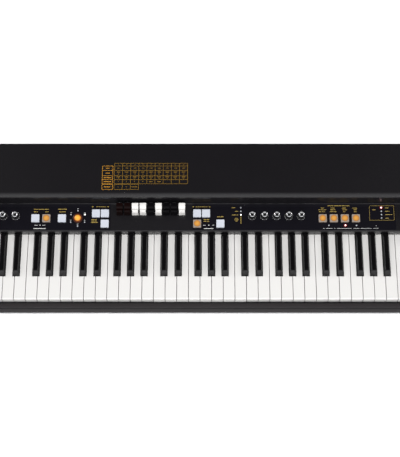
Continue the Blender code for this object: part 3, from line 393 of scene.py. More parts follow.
# Keys: 36 white and 25 black, injection moulded in glossy plastic, each hinged at the back on the
# frame's bead. The edges that show are eased, a white key ends in a rounded waterfall front, and the
# sides of the black keys are matt, as they come from the mould.
KEY_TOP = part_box("white_key_c4")[1].z
WATERFALL = 0.0181           # depth of the white keys' front under their top
BLACK_FOOT = 0.0005          # the black keys' edges are eased from here over the white tops
EASING = 0.00055
UPPER_PART = 0.006           # an eased edge reaches at least this far over the lowest that is eased
UNDER_LIP = 0.004            # the eased edges end this far behind the panel's lip
SIDE_FACING = 0.97
white_key_plastic = surface("white_key_plastic", (0.487, 0.480, 0.468), 0.24, grain=500, relief=0.00001,
                            drift=0.02)
black_key_plastic = surface("black_key_plastic", (0.0014, 0.0012, 0.0014), 0.20, relief=0.00001,
                            Specular_IOR_Level=0.4)
black_key_sides = surface("black_key_sides", (0.0030, 0.0028, 0.0031), 0.6, Specular_IOR_Level=0.1)


def eased_key(node, finish, low_z, least_angle, corner, sides=None):
    """A key or row of keys as the CAD has it, merged, its edges over a height eased, and its sides
    in a finish of their own where one is given."""
    shape = bmesh.new()
    shape.from_mesh(nodes[node].data)
    bmesh.ops.remove_doubles(shape, verts=shape.verts, dist=1e-6)
    bmesh.ops.dissolve_limit(shape, angle_limit=math.radians(0.5), verts=shape.verts, edges=shape.edges)
    edges = [e for e in shape.edges if len(e.link_faces) == 2
             and e.calc_face_angle() > math.radians(least_angle)
             and min(v.co.z for v in e.verts) > low_z and max(v.co.z for v in e.verts) > low_z + UPPER_PART
             and max(v.co.y for v in e.verts) < LIP_Y + UNDER_LIP]
    ease(shape, edges, EASING, 3, clamp_overlap=True)
    body = node if node in frame["bodies"] else "case"
    for face in shape.faces:
        face.material_index = int(sides is not None and abs(face.normal.x) > SIDE_FACING)
    key = piece(node + "_moulding", shape, finish, body, corner)
    if sides:
        key.data.materials.append(sides)
    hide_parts(node)


for node in sorted(nodes):
    if node.startswith("white_key"):
        eased_key(node, white_key_plastic, KEY_TOP - WATERFALL, 60, 50)
    elif node.startswith("black_key"):
        eased_key(node, black_key_plastic, KEY_TOP + BLACK_FOOT, 25, 20, black_key_sides)


# Top cover: one steel sheet, 1.5 mm thick, bent into the lip, the sloping control panel, the wall,
# the flat rear deck and a fold at the back. It is punched for the controls and the drawbars and has
# the same fine black powder coat as the pan.
TILT = math.radians(5)
PANEL_Z = 0.0783
WALL_Y = 0.0449
FOLD = 0.014
LIP_BEND, DECK_BEND, BACK_BEND = 0.002, 0.010, 0.0025
INK = 0.00006                # print stands this much over the deck

# The panel's own frame: X along the lip, Y up the slope, Z off the surface
SLOPE = Matrix.Translation((0, LIP_Y, PANEL_Z)) @ Matrix.Rotation(TILT, 4, "X")
WALL_ROW = (WALL_Y - LIP_Y) / math.cos(TILT)

BUTTON_SIZE = 0.0165
BUTTON_CORNER, KNOB_HOLE, SELECTOR_HOLE = 0.0014, 0.0038, 0.0106
SLOT_HALF, SLOT_LOW, SLOT_HIGH = 0.0048, 0.0029, 0.0067
CUT_DEPTH, SLOT_CUT = 0.01, 0.004
ROW_LOW, ROW_MID, ROW_HIGH = 0.0154, 0.0269, 0.0374
KNOB_ROW, KNOB_PITCH = 0.0315, 0.025
SELECTOR_X, SELECTOR_ROW = -0.250, 0.0274
VOICE_PITCH, DRAWBAR_PITCH = 0.0226, 0.0159
BUTTONS = {
    "effect_button_1": (-0.3364, ROW_MID), "effect_button_2": (-0.3141, ROW_MID),
    "effect_button_3": (-0.2822, ROW_MID),
    "lower_preset_button_1": (-0.2127, ROW_HIGH), "lower_preset_button_2": (-0.1945, ROW_HIGH),
    "lower_preset_button_3": (-0.1945, ROW_LOW),
    "upper_preset_button_1": (-0.0058, ROW_HIGH), "upper_preset_button_2": (0.0124, ROW_HIGH),
    "upper_preset_button_3": (-0.0058, ROW_LOW),
    "split_button": (0.0416, ROW_LOW),
}
BUTTONS.update({f"voice_button_{i + 1}": (0.2508 + i * VOICE_PITCH, ROW_MID) for i in range(4)})
KNOBS = {f"effect_knob_{i + 1}": -0.402 + i * KNOB_PITCH for i in range(2)}
KNOBS.update({f"tone_knob_{i + 1}": 0.1066 + i * KNOB_PITCH for i in range(5)})
DRAWBARS = [-0.1005 + (i - 4) * DRAWBAR_PITCH for i in range(9)]


def rounded_block_in(shape, low, high, radius, place=Matrix()):
    """Add a block whose four upright edges are rounded, and return its vertices."""
    before = set(shape.verts)
    block = box_in(shape, low, high)
    upright = [e for e in edges_of(block) if (e.verts[0].co.xy - e.verts[1].co.xy).length < 1e-7]
    ease(shape, upright, radius, 4)
    verts = added(shape, before)
    put(shape, place, verts)
    return verts


def punch(shape, spare, drop):
    """Add the solids of all the holes for the panel's controls, as wide as the CAD's and a spare."""
    hole = BUTTON_SIZE / 2 + GAP + spare
    for x, row in BUTTONS.values():
        rounded_block_in(shape, (x - hole, row - hole, -drop), (x + hole, row + hole, drop),
                         BUTTON_CORNER, SLOPE)
    for x in KNOBS.values():
        rod_in(shape, (x, KNOB_ROW, -drop), KNOB_HOLE + spare, 2 * drop, SLOPE)
    rod_in(shape, (SELECTOR_X, SELECTOR_ROW, -drop), SELECTOR_HOLE + spare, 2 * drop, SLOPE, sides=48)


deck_top = DECK_Z - INK
cover = bent_sheet("top_cover_sheet", [
    (LIP_Y, cover_low.z), (LIP_Y, PANEL_Z), (WALL_Y, PANEL_Z + (WALL_Y - LIP_Y) * math.tan(TILT)),
    (WALL_Y, deck_top), (BACK_Y, deck_top), (BACK_Y, DECK_Z - FOLD),
], [(1, LIP_BEND), (2, SHEET), (3, DECK_BEND), (4, BACK_BEND)], SHEET, black_coat)
holes = bmesh.new()
punch(holes, 0, CUT_DEPTH)
for x in DRAWBARS:
    box_in(holes, (x - SLOT_HALF, WALL_ROW - SLOT_CUT, SLOT_LOW),
           (x + SLOT_HALF, WALL_ROW + SLOT_CUT, SLOT_HIGH), SLOPE)
cut_away(cover, holes)
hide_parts("top_cover")


# Overlays: two glossy black foils glued on the panel, left and right of the drawbars, cut out round
# the controls. Legends are screen printed on them in yellow and white: bars, rings and plain marks.
FOIL = 0.00015
FOIL_FRONT, FOIL_BACK = 0.0030, 0.0588
FOIL_SPARE, FOIL_CUT = 0.0004, 0.004
OVERLAYS = [("left_overlay", -0.4235, -0.1835), ("right_overlay", -0.0150, 0.4006)]
PRINT_UNDER, PRINT_OVER = 0.00001, 0.00003   # print reaches this far under and over its ground
SMALL, LOW, BOLD = 0.0011, 0.0014, 0.0018    # heights of the bars
BAR_SPACE, BAR_UNEVEN = 0.0009, 0.55
YELLOW_PRINT = [             # row, height, and the ends and number of bars of each line on it
    (0.0470, SMALL, [(-0.3404, -0.3099, 4)]),
    (0.0416, LOW, [(-0.3404, -0.3320, 2), (-0.3170, -0.3100, 2), (-0.2885, -0.2755, 2)]),
    (0.0472, LOW, [(-0.2907, -0.2730, 3)]), (0.0308, LOW, [(0.0352, 0.0480, 2)]),
    (0.0524, SMALL, [(-0.2125, -0.1930, 4), (-0.0090, 0.0150, 4)]),
    (0.0524, BOLD, [(-0.2216, -0.2185, 1), (-0.1900, -0.1873, 1), (-0.0150, -0.0122, 1),
                    (0.0185, 0.0207, 1)]),
    (0.0248, SMALL, [(-0.2222, -0.2110, 2)]), (0.0217, SMALL, [(-0.2222, -0.2110, 2)]),
    (0.0186, SMALL, [(-0.2222, -0.2090, 2)]), (0.0250, SMALL, [(0.0075, 0.0190, 2)]),
    (0.0212, SMALL, [(0.0075, 0.0190, 2)]), (0.0504, SMALL, [(0.0650, 0.0716, 1)]),
    (0.0428, SMALL, [(0.0718, 0.0782, 1), (0.3792, 0.3881, 2)]), (0.0348, SMALL, [(0.0655, 0.0782, 2)]),
    (0.0235, 0.0152, [(0.0832, 0.0842, 1)]), (0.0547, SMALL, [(0.2617, 0.3067, 6)]),
    (0.0496, SMALL, [(0.2480, 0.2540, 1), (0.2681, 0.2761, 1), (0.2910, 0.2990, 1), (0.3128, 0.3220, 2)]),
    (0.0459, SMALL, [(0.2425, 0.2585, 2), (0.2671, 0.2774, 2), (0.2920, 0.3012, 2), (0.3150, 0.3208, 1),
                     (0.3530, 0.3597, 1)]),
    (0.0418, SMALL, [(0.2442, 0.2557, 2), (0.2659, 0.2796, 2), (0.2933, 0.2978, 1), (0.3150, 0.3208, 1)]),
    (0.0500, SMALL, [(0.3792, 0.3862, 1)]), (0.0355, SMALL, [(0.3792, 0.3932, 2)]),
    (0.0277, SMALL, [(0.3792, 0.3862, 1)]),
]
PRINTED_RINGS, RINGS_AT = [(0.0036, 0.0007), (0.0017, 0.0005)], (0.0745, 0.0245)
PANEL_BOX = ((0.3470, 0.0233), (0.3975, 0.0549))
PANEL_BOX_CORNER, PANEL_BOX_LINE = 0.0018, 0.00045
DOT_ROW, DOT_RADIUS, DOTS_AT = 0.0127, 0.0011, (-0.3267, 0.0178)
WHITE_PRINT = [
    (DOT_ROW, 0.0009, [(-0.3382, -0.3314, 1), (-0.3220, -0.3161, 1), (0.0062, 0.0112, 1),
                       (0.0248, 0.0290, 1)]),
    (0.0056, 0.0013, [(-0.3398, -0.3148, 1), (0.0078, 0.0274, 1)]), (0.0115, 0.0016, [(0.3591, 0.3602, 1)]),
    (0.0058, 0.0006, [(0.2512, 0.2545, 1), (0.2567, 0.2704, 1), (0.2739, 0.2762, 1), (0.2796, 0.3093, 1),
                      (0.3128, 0.3253, 1), (0.3275, 0.3505, 1), (0.3539, 0.3642, 1)]),
]
LAMP_RING = 0.0165           # the selector's lamps stand this far from its middle
LAMP_LABEL, LAMP_LABEL_HALF, LAMP_LABEL_HEIGHT = 0.0042, 0.0012, 0.0010
foil_gloss = surface("foil_gloss", (0.0034, 0.0031, 0.0048), 0.12, grain=300, relief=0.000004,
                     Specular_IOR_Level=0.30)
yellow_ink = surface("yellow_ink", (0.28, 0.20, 0.045), 0.5, grain=2500, drift=0.06)
white_ink = surface("white_ink", (0.42, 0.42, 0.41), 0.5, grain=2500, drift=0.05)


def legend_in(shape, row, height, lines):
    """Lines of print centred on a row, each a run of short bars of uneven length."""
    for left, right, parts in lines:
        shares = [1 + BAR_UNEVEN * math.sin(2.4 * i + left * 900) for i in range(parts)]
        unit = (right - left - BAR_SPACE * (parts - 1)) / sum(shares)
        for share in shares:
            box_in(shape, (left, row - height / 2, FOIL - PRINT_UNDER),
                   (left + unit * share, row + height / 2, FOIL + PRINT_OVER), SLOPE)
            left += unit * share + BAR_SPACE


def face_out(shape):
    bmesh.ops.recalc_face_normals(shape, faces=shape.faces)


def printed_rim(shape, verts, wall):
    """Leave only the rim of a flat form, for print and for the rings of painted lamp glow, and lay it on the
    panel.
    """
    faces = {f for v in verts for f in v.link_faces if abs(f.normal.z) > 0.9}
    caps = sorted(faces, key=lambda f: -f.calc_center_median().z)
    inner = bmesh.ops.inset_region(shape, faces=caps, thickness=wall)
    bmesh.ops.bridge_loops(shape, edges=[e for f in caps for e in f.edges])
    bmesh.ops.delete(shape, geom=caps, context="FACES_ONLY")
    put(shape, SLOPE, list(set(verts) | {v for f in inner["faces"] for v in f.verts}))
    face_out(shape)


def printed_ring(shape, centre, outer, wall):
    disc = rod_in(shape, (*centre, FOIL - PRINT_UNDER), outer, PRINT_UNDER + PRINT_OVER)
    printed_rim(shape, disc, wall)


for name, left, right in OVERLAYS:
    sheet = bmesh.new()
    box_in(sheet, (left, FOIL_FRONT, 0), (right, FOIL_BACK, FOIL), SLOPE)
    foil = piece(name, sheet, foil_gloss)
    openings = bmesh.new()
    punch(openings, FOIL_SPARE, FOIL_CUT)
    cut_away(foil, openings)

yellow = bmesh.new()
for row, height, lines in YELLOW_PRINT:
    legend_in(yellow, row, height, lines)
for outer, wall in PRINTED_RINGS:
    printed_ring(yellow, RINGS_AT, outer, wall)
box_low, box_high = PANEL_BOX
panel_box = rounded_block_in(yellow, (*box_low, FOIL - PRINT_UNDER), (*box_high, FOIL + PRINT_OVER),
                             PANEL_BOX_CORNER)
printed_rim(yellow, panel_box, PANEL_BOX_LINE)
piece("yellow_print", yellow, yellow_ink)

white = bmesh.new()
for row, height, lines in WHITE_PRINT:
    legend_in(white, row, height, lines)
for x in DOTS_AT:
    rod_in(white, (x, DOT_ROW, FOIL - PRINT_UNDER), DOT_RADIUS, PRINT_UNDER + PRINT_OVER, SLOPE, sides=16)
lamp_ring = []
for angle in (math.radians(90 - 60 * count) for count in range(6)):
    x, row = SELECTOR_X + LAMP_RING * math.cos(angle), SELECTOR_ROW + LAMP_RING * math.sin(angle)
    lamp_ring.append((x, row))
    legend_in(white, row + LAMP_LABEL, LAMP_LABEL_HEIGHT, [(x - LAMP_LABEL_HALF, x + LAMP_LABEL_HALF, 1)])
piece("white_print", white, white_ink)


# Indicator lamps: 3 mm LEDs in clear milky plastic that stand a little out of the foils. Six form a
# ring round the selector. Two are lit white, and two on the right red, each with a red ring painted on the
# foil as the glow that it casts.
DOME = [(0.0015, 0), (0.0015, 0.0006), (0.0013, 0.0011), (0.0008, 0.0015), (0, 0.0017)]
RED_LIT = [(0.2970, 0.0125), (0.3715, 0.0507)]
RED_RING, RED_RING_WALL = 0.0034, 0.0019
UNLIT = [lamp_ring[0]] + lamp_ring[2:] + [
    (0.0837, 0.0504), (0.0837, 0.0427), (0.2632, 0.0123), (0.3196, 0.0123), (0.3715, 0.0428),
    (0.3715, 0.0355), (0.3715, 0.0282),
]
LEDS = [                     # piece, finish, colour and strength of the light, and places
    ("leds_off", "led_off", (0.30, 0.31, 0.33), 0.0, UNLIT),
    ("leds_lit_white", "led_white", (1.0, 0.99, 0.95), 1.6, [lamp_ring[1], (0.0837, 0.0352)]),
    ("leds_lit_red", "led_red", (1.0, 0.72, 0.70), 1.8, RED_LIT),
]


def on_panel(x, row, height=0):
    """A place on the control panel."""
    return SLOPE @ Matrix.Translation((x, row, height))


def spun_in(shape, profile, steps, closed=False):
    """Spin a profile of (radius, height) points round the Z axis and return its vertices. A closed
    profile makes a ring."""
    before = set(shape.verts)
    verts = [shape.verts.new((r, 0, z)) for r, z in profile]
    ends = verts[1:] + (verts[:1] if closed else [])
    edges = [shape.edges.new(pair) for pair in zip(verts, ends)]
    bmesh.ops.spin(shape, geom=verts + edges, cent=(0, 0, 0), axis=(0, 0, 1), angle=math.tau, steps=steps,
                   use_merge=True)
    bmesh.ops.remove_doubles(shape, verts=added(shape, before), dist=1e-6)
    face_out(shape)
    return added(shape, before)


for name, finish, colour, strength, places in LEDS:
    domes = bmesh.new()
    for x, row in places:
        dome = spun_in(domes, DOME, 16)
        bmesh.ops.holes_fill(domes, edges=[e for e in edges_of(dome) if len(e.link_faces) == 1])
        put(domes, on_panel(x, row, FOIL), dome)
    face_out(domes)
    glowing = surface(finish, colour, 0.25, grain=1500, Emission_Color=(*colour, 1),
                      Emission_Strength=strength)
    piece(name, domes, glowing)
# Red rings round the lit red lamps: painted light, the glow that each lamp casts on the foil.
red_glow_paint = surface("painted_red_lamp_glow", (0.10, 0.004, 0.004), 0.3, grain=600)
red_glow_rings = bmesh.new()
for spot in RED_LIT:
    printed_ring(red_glow_rings, spot, RED_RING, RED_RING_WALL)
piece("painted_red_glow_rims", red_glow_rings, red_glow_paint)


# Chart on the rear deck: fine gold lines, screen printed, in nine columns with plain numbers, and a
# column of bars at the left in a brighter gold.
LINE, BAR_LINE = 0.0005, 0.0009
CHART_ROWS = [0.1194, 0.1133, 0.1032, 0.0912, 0.0825, 0.0732]
CHART_LEFT, CHART_PITCH = -0.1750, 0.01663
LABEL_LEFT, LABEL_RIGHT = -0.1996, -0.1782
LAST_ROW = [0.0718, 0.0605]
UPPER_LINE, LOWER_LINE = 0.30, 0.68      # lines of print in a two-line cell, as parts of its depth
FINE_DIGIT, DIGIT, LARGE_DIGIT = 0.0030, 0.0034, 0.0035
DIGIT_PITCH = 0.58           # of a numeral's size
DIGIT_FLAT, DIGIT_OVER = 0.0015, 0.00002 # scale of its thickness, and its middle's height over the deck
TOP_NUMBERS = 0.1163
CELL_BAR, LAST_BAR = 0.0062, 0.0105
LABEL_BARS = [0.0060, 0.0075, 0.0140, 0.0140, 0.0115]
columns = [CHART_LEFT + i * CHART_PITCH for i in range(10)]
digit_meshes = {}
gold_ink = surface("gold_ink", (0.23, 0.128, 0.012), 0.45, grain=2500, drift=0.15)
bright_gold_ink = surface("bright_gold_ink", (0.52, 0.245, 0.018), 0.5, drift=0.05)


def digit(character):
    """The flat shape of one numeral, 1 m high in text size, made once and then a mesh."""
    if character not in digit_meshes:
        words = bpy.data.curves.new("numeral", "FONT")
        words.body = character
        words.align_x, words.align_y = "CENTER", "CENTER"
        words.resolution_u = 2
        words.extrude = 0.01
        holder = bpy.data.objects.new("numeral", words)
        scene.collection.objects.link(holder)
        bpy.context.view_layer.update()
        shown = holder.evaluated_get(bpy.context.evaluated_depsgraph_get())
        digit_meshes[character] = bpy.data.meshes.new_from_object(shown)
        bpy.data.objects.remove(holder)
    return digit_meshes[character]


def number_in(shape, number, x, y, z, size, place=Matrix()):
    """Print a plain number, digit by digit, centred on a point of a surface."""
    text = str(number)
    for count, character in enumerate(text):
        before = set(shape.verts)
        shape.from_mesh(digit(character))
        bmesh.ops.remove_doubles(shape, verts=added(shape, before), dist=1e-5)
        across = x + (count - (len(text) - 1) / 2) * size * DIGIT_PITCH
        flat = Matrix.Diagonal((size, size, DIGIT_FLAT, 1))
        put(shape, place @ Matrix.Translation((across, y, z)) @ flat, added(shape, before))


def rule(shape, x0, y0, x1, y1, width=LINE):
    """A printed line on the deck, square to the case."""
    half = width / 2
    box_in(shape, (min(x0, x1) - half, min(y0, y1) - half, deck_top - PRINT_UNDER),
           (max(x0, x1) + half, max(y0, y1) + half, DECK_Z - PRINT_UNDER))


def grid_in(shape, xs, ys):
    for y in ys:
        rule(shape, xs[0], y, xs[-1], y)
    for x in xs:
        rule(shape, x, ys[0], x, ys[-1])


def bar(shape, x, y, length):
    """A plain bar in a cell of the chart."""
    rule(shape, x - length / 2, y, x + length / 2, y, BAR_LINE)


chart = bmesh.new()
grid_in(chart, columns, CHART_ROWS)
grid_in(chart, columns[:4], LAST_ROW)
print_z = deck_top + DIGIT_OVER
middles = [(high + low) / 2 for high, low in zip(CHART_ROWS, CHART_ROWS[1:])]
last_y = sum(LAST_ROW) / 2
for count in range(9):
    x = columns[count] + CHART_PITCH / 2
    number_in(chart, count + 1, x, TOP_NUMBERS, print_z, FINE_DIGIT)
    number_in(chart, count + 101, x, middles[1], print_z, LARGE_DIGIT)
    for row in (2, 3):
        high, deep = CHART_ROWS[row], CHART_ROWS[row] - CHART_ROWS[row + 1]
        bar(chart, x, high - UPPER_LINE * deep, CELL_BAR)
        number_in(chart, (row - 1) * 9 + count + 1, x, high - LOWER_LINE * deep, print_z, FINE_DIGIT)
    if count < 4:
        number_in(chart, count + 1, x, middles[4], print_z, DIGIT)
    elif count < 6:
        bar(chart, x, middles[4], CELL_BAR)
for count in range(2):
    number_in(chart, count + 1, columns[count] + CHART_PITCH / 2, last_y, print_z, DIGIT)
bar(chart, columns[2] + CHART_PITCH / 2, last_y, LAST_BAR)
piece("deck_chart", chart, gold_ink)

labels = bmesh.new()
for rows in (CHART_ROWS[1:], LAST_ROW):
    grid_in(labels, (LABEL_LEFT, LABEL_RIGHT), rows)
for y, length in zip(middles[1:] + [last_y], LABEL_BARS):
    bar(labels, (LABEL_LEFT + LABEL_RIGHT) / 2, y, length)
piece("chart_labels", labels, bright_gold_ink)


# Push buttons: square caps moulded in milky plastic, each on a stem that rides in its switch. Those
# that are on glow amber through the middle of the cap.
CAP_LOW, CAP_HIGH = -0.0026, 0.0045
CAP_CORNER, CAP_EASING = 0.0013, 0.0008
CAP_DISH = [(0.86, -0.0001), (0.78, -0.0002), (0.6, -0.0001)]    # each step inwards and down
STEM_HALF, STEM_LENGTH = 0.002, 0.0058
GLOW_FROM, GLOW_TO, GLOW, FAINT = 0.20, 0.44, 0.3, 0.02
AMBER_BUTTONS = {"effect_button_2", "upper_preset_button_3"} | {f"voice_button_{i + 1}" for i in range(4)}


def add_uv(shape, size):
    """Lay a square map over a piece from above, with its middle at 0.5."""
    layer = shape.loops.layers.uv.new("plan")
    for face in shape.faces:
        for loop in face.loops:
            loop[layer].uv = (loop.vert.co.x / size + 0.5, loop.vert.co.y / size + 0.5)


def lit_from_below(name, stops, roughness):
    """Milky plastic with a round glow: colours from the middle outwards by distance on the map."""
    mat = surface(name, stops[-1][1], roughness)
    tree = mat.node_tree
    shader = tree.nodes["Principled BSDF"]
    plan = shader_node(tree, "UVMap", {"uv_map": "plan"})
    centre = shader_node(tree, "VectorMath", {"operation": "DISTANCE"})
    centre.inputs[1].default_value = (0.5, 0.5, 0)
    colours = shader_node(tree, "ValToRGB")
    colours.color_ramp.interpolation = "EASE"
    ramp = colours.color_ramp.elements
    for count, (place, colour) in enumerate(stops):
        stop = ramp[count] if count < 2 else ramp.new(place)
        stop.position = place
        stop.color = (*colour, 1)
    shine = shader_node(tree, "MapRange", {"interpolation_type": "SMOOTHSTEP"},
                        From_Min=GLOW_FROM, From_Max=GLOW_TO, To_Min=GLOW, To_Max=FAINT)
    tree.links.new(plan.outputs["UV"], centre.inputs[0])
    wire(tree, (centre, "Value", colours, "Fac"), (centre, "Value", shine, "Value"),
         (colours, "Color", shader, "Base Color"), (colours, "Color", shader, "Emission Color"),
         (shine, "Result", shader, "Emission Strength"))
    return mat


milky_white = surface("milky_white_plastic", (0.365, 0.382, 0.425), 0.35, grain=700, drift=0.05)
milky_amber = lit_from_below("milky_amber_plastic", [
    (0.0, (0.36, 0.185, 0.036)), (0.30, (0.32, 0.135, 0.022)), (0.37, (0.22, 0.090, 0.018)),
    (0.42, (0.18, 0.135, 0.095)), (0.48, (0.19, 0.155, 0.13)),
], 0.4)


def grow(shape, faces, scale, shift):
    """Extrude flat faces, scaled about the piece's own axis and shifted along it."""
    grown = bmesh.ops.extrude_face_region(shape, geom=faces)["geom"]
    bmesh.ops.delete(shape, geom=faces, context="FACES_ONLY")
    bmesh.ops.scale(shape, verts=verts_of(grown), vec=(scale, scale, 1))
    bmesh.ops.translate(shape, verts=verts_of(grown), vec=(0, 0, shift))
    return [f for f in grown if isinstance(f, bmesh.types.BMFace)]


def button_cap():
    """Cap with eased edges and a slightly dished top; its stem grows from the underside."""
    shape = bmesh.new()
    half = BUTTON_SIZE / 2
    rounded_block_in(shape, (-half, -half, CAP_LOW), (half, half, CAP_HIGH), CAP_CORNER)
    rim = [e for e in shape.edges if all(v.co.z > 0.98 * CAP_HIGH for v in e.verts)]
    ease(shape, rim, CAP_EASING, 4)
    face = [f for f in shape.faces if f.normal.z > 0.99]
    for scale, drop in CAP_DISH:
        face = grow(shape, face, scale, drop)
    face = [f for f in shape.faces if f.normal.z < -0.99]
    for scale, drop in ((STEM_HALF / half, 0), (1, -STEM_LENGTH)):
        face = grow(shape, face, scale, drop)
    add_uv(shape, BUTTON_SIZE)
    return shape


for name, (x, row) in BUTTONS.items():
    cap = button_cap()
    put(cap, on_panel(x, row))
    finish, slot = (milky_amber, "amber_plastic") if name in AMBER_BUTTONS else (milky_white, "white_plastic")
    button = piece(name + "_cap", cap, finish, name)
    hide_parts(name)


# Selector: a round push switch, a dark red translucent collar with a domed amber lens in it, lit
# from below like the buttons.
LENS_MAP = 0.020             # the square map over the selector is this wide
LENS_SIDE = [                # radius and height, from the foot of the stem to the top of the lens
    (0, -0.0084), (0.002, -0.0084), (0.002, -0.0026), (0.010, -0.0026), (0.010, 0.0022), (0.0098, 0.0029),
    (0.0090, 0.0033), (0.0074, 0.0033), (0.0070, 0.0031), (0.0069, 0.0038), (0.0064, 0.0049),
    (0.0050, 0.0056), (0.0030, 0.0061), (0.0014, 0.0063), (0, 0.0063),
]
selector_lit = lit_from_below("selector_lens", [
    (0.0, (0.54, 0.29, 0.045)), (0.24, (0.46, 0.205, 0.022)), (0.33, (0.26, 0.080, 0.009)),
    (0.38, (0.06, 0.012, 0.005)), (0.48, (0.026, 0.006, 0.003)),
], 0.3)
lens = bmesh.new()
spun_in(lens, LENS_SIDE, 48)
add_uv(lens, LENS_MAP)
put(lens, on_panel(SELECTOR_X, SELECTOR_ROW))
selector = piece("vibrato_selector_lens", lens, selector_lit, "vibrato_selector")
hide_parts("vibrato_selector")


# Knobs: black moulded skirt and fluted grip on a steel shaft, with a spun aluminium ring pressed into
# the top, white pointer lines and eleven white marks round the skirt.
FLUTES, FLUTE_DEPTH = 18, 0.035
FLUTE_LOW, FLUTE_HIGH, FLUTE_INSIDE = 0.0040, 0.0156, 0.006
KNOB_SIDE = [                # radius and height, from the foot of the shaft to the middle of the top
    (0, -0.0108), (0.003, -0.0108), (0.003, 0.0005), (0.0082, 0.0005), (0.0085, 0.0008), (0.0085, 0.0018),
    (0.0083, 0.0022), (0.0076, 0.0029), (0.0070, 0.0036), (0.0067, 0.0046), (0.00655, 0.0152),
    (0.0063, 0.0159), (0.0060, 0.0161), (0.0034, 0.0161), (0.0032, 0.0159), (0.0028, 0.0157), (0, 0.0156),
]
RING_SIDE = [
    (0.0034, 0.0158), (0.0036, 0.0161), (0.0041, 0.01645), (0.0047, 0.0166), (0.0053, 0.01645),
    (0.0058, 0.0161), (0.0060, 0.0158),
]
POINTERS = [((-0.0004, 0.0014, 0.0155), (0.0004, 0.0034, 0.0160)),
            ((-0.00045, 0.0064, 0.0040), (0.00045, 0.00672, 0.0150))]
TICK = ((-0.0003, -0.0007, -0.0003), (0.0003, 0.0007, 0.00005))
TICK_RISE = Matrix.Translation((0, 0.0079, 0.00255)) @ Matrix.Rotation(math.radians(-45), 4, "X")
knob_plastic = surface("knob_plastic", (0.008, 0.008, 0.009), 0.20, grain=1400)
spun_aluminium = surface("spun_aluminium", (0.85, 0.85, 0.86), 0.16, grain=2600, relief=0.00003, Metallic=1.0)
for name, x in KNOBS.items():
    spot = on_panel(x, KNOB_ROW)
    grip = bmesh.new()
    spun_in(grip, KNOB_SIDE, 4 * FLUTES)
    for vert in grip.verts:
        if FLUTE_LOW < vert.co.z < FLUTE_HIGH and vert.co.xy.length > FLUTE_INSIDE:
            turn = math.atan2(vert.co.y, vert.co.x) * FLUTES
            vert.co.xy *= 1 - FLUTE_DEPTH * (1 + math.cos(turn)) / 2
    put(grip, spot)
    knob = piece(name + "_grip", grip, knob_plastic, name)
    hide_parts(name)
    ring = bmesh.new()
    put(ring, spot, spun_in(ring, RING_SIDE, 48, closed=True))
    piece(name + "_ring", ring, spun_aluminium, name)
    marks = bmesh.new()
    for low, high in POINTERS:
        box_in(marks, low, high, spot)
    for tick in range(11):
        turn = Matrix.Rotation(math.radians(150 - 30 * tick), 4, "Z")
        box_in(marks, *TICK, spot @ turn @ TICK_RISE)
    piece(name + "_marks", marks, white_ink, name)


# Drawbars: nine caps moulded in glossy plastic, with a finger scoop across the top and a grip groove
# on the front, each on a flat bar that slides through the wall. The bars are numbered 1 to 8 as they
# come out.
CAP_FRONT = 0.0335
CAP_TOP, CAP_BOTTOM = 0.0188, 0.0015
CAP_WIDTH, CAP_EDGE = 0.0133, 0.0006
CAP_SIDE = [                 # distance from the front and height, from the front foot over the top
    (0, CAP_BOTTOM), (0.0004, 0.0060), (0.0007, 0.0090), (0.0011, 0.0130), (0.0015, 0.0152),
    (0.0019, 0.0160), (0.0024, 0.0158), (0.0027, 0.0170), (0.0032, 0.0180), (0.0041, 0.0187),
    (0.0052, 0.0188), (0.0062, 0.0183), (0.0071, 0.0175), (0.0081, 0.0168), (0.0092, 0.0166),
    (0.0103, 0.0169), (0.0114, 0.0176), (0.0125, 0.0184), (0.0137, 0.0188), (0.0160, 0.0188),
    (0.0206, 0.0188), (0.0215, 0.0178), (0.0215, CAP_BOTTOM),
]
WAIST_AT, WAIST_REACH, WAIST_DEPTH = 0.0030, 0.0042, 0.14
BAR_START, BAR_LOW, BAR_SHEET, BAR_HALF, BAR_EDGE = 0.0150, 0.0032, 0.0032, 0.0045, 0.0003
BAR_BACK = WALL_ROW - CAP_FRONT + SHEET + 0.060
DRAWBAR_STEP, STEP_MIDDLE = 0.0035, 0.4
DRAWBAR_COLOURS = ["brown", "brown", "white", "white", "black", "white", "black", "black", "white"]
cap_plastic = {
    "brown": surface("brown_drawbar_plastic", (0.0036, 0.0012, 0.0011), 0.25, grain=300, relief=0.000003,
                     Specular_IOR_Level=0.09),
    "white": surface("white_drawbar_plastic", (0.50, 0.49, 0.475), 0.24, grain=300, relief=0.000003,
                     drift=0.03),
    "black": surface("black_drawbar_plastic", (0.0016, 0.0014, 0.0018), 0.25, grain=300, relief=0.000003,
                     Specular_IOR_Level=0.09),
}


def draw_out(shape, outline, start, width):
    """Lay a closed side view at one side and draw it out across."""
    side = shape.faces.new([shape.verts.new((start, y, z)) for y, z in outline])
    drawn = bmesh.ops.extrude_face_region(shape, geom=[side])["geom"]
    bmesh.ops.translate(shape, verts=verts_of(drawn), vec=(width, 0, 0))
    face_out(shape)


def drawbar_cap():
    """Side view of the cap, drawn out to its width, drawn in at the waist and eased."""
    shape = bmesh.new()
    draw_out(shape, CAP_SIDE, -CAP_WIDTH / 2, CAP_WIDTH)
    for vert in shape.verts:
        waist = math.exp(-((vert.co.y - WAIST_AT) / WAIST_REACH) ** 2)
        vert.co.x *= 1 - WAIST_DEPTH * waist * (vert.co.z - CAP_BOTTOM) / (CAP_TOP - CAP_BOTTOM)
    edges = [e for e in shape.edges if e.calc_face_angle() > math.radians(50)]
    ease(shape, edges, CAP_EDGE, 3, clamp_overlap=True)
    return shape


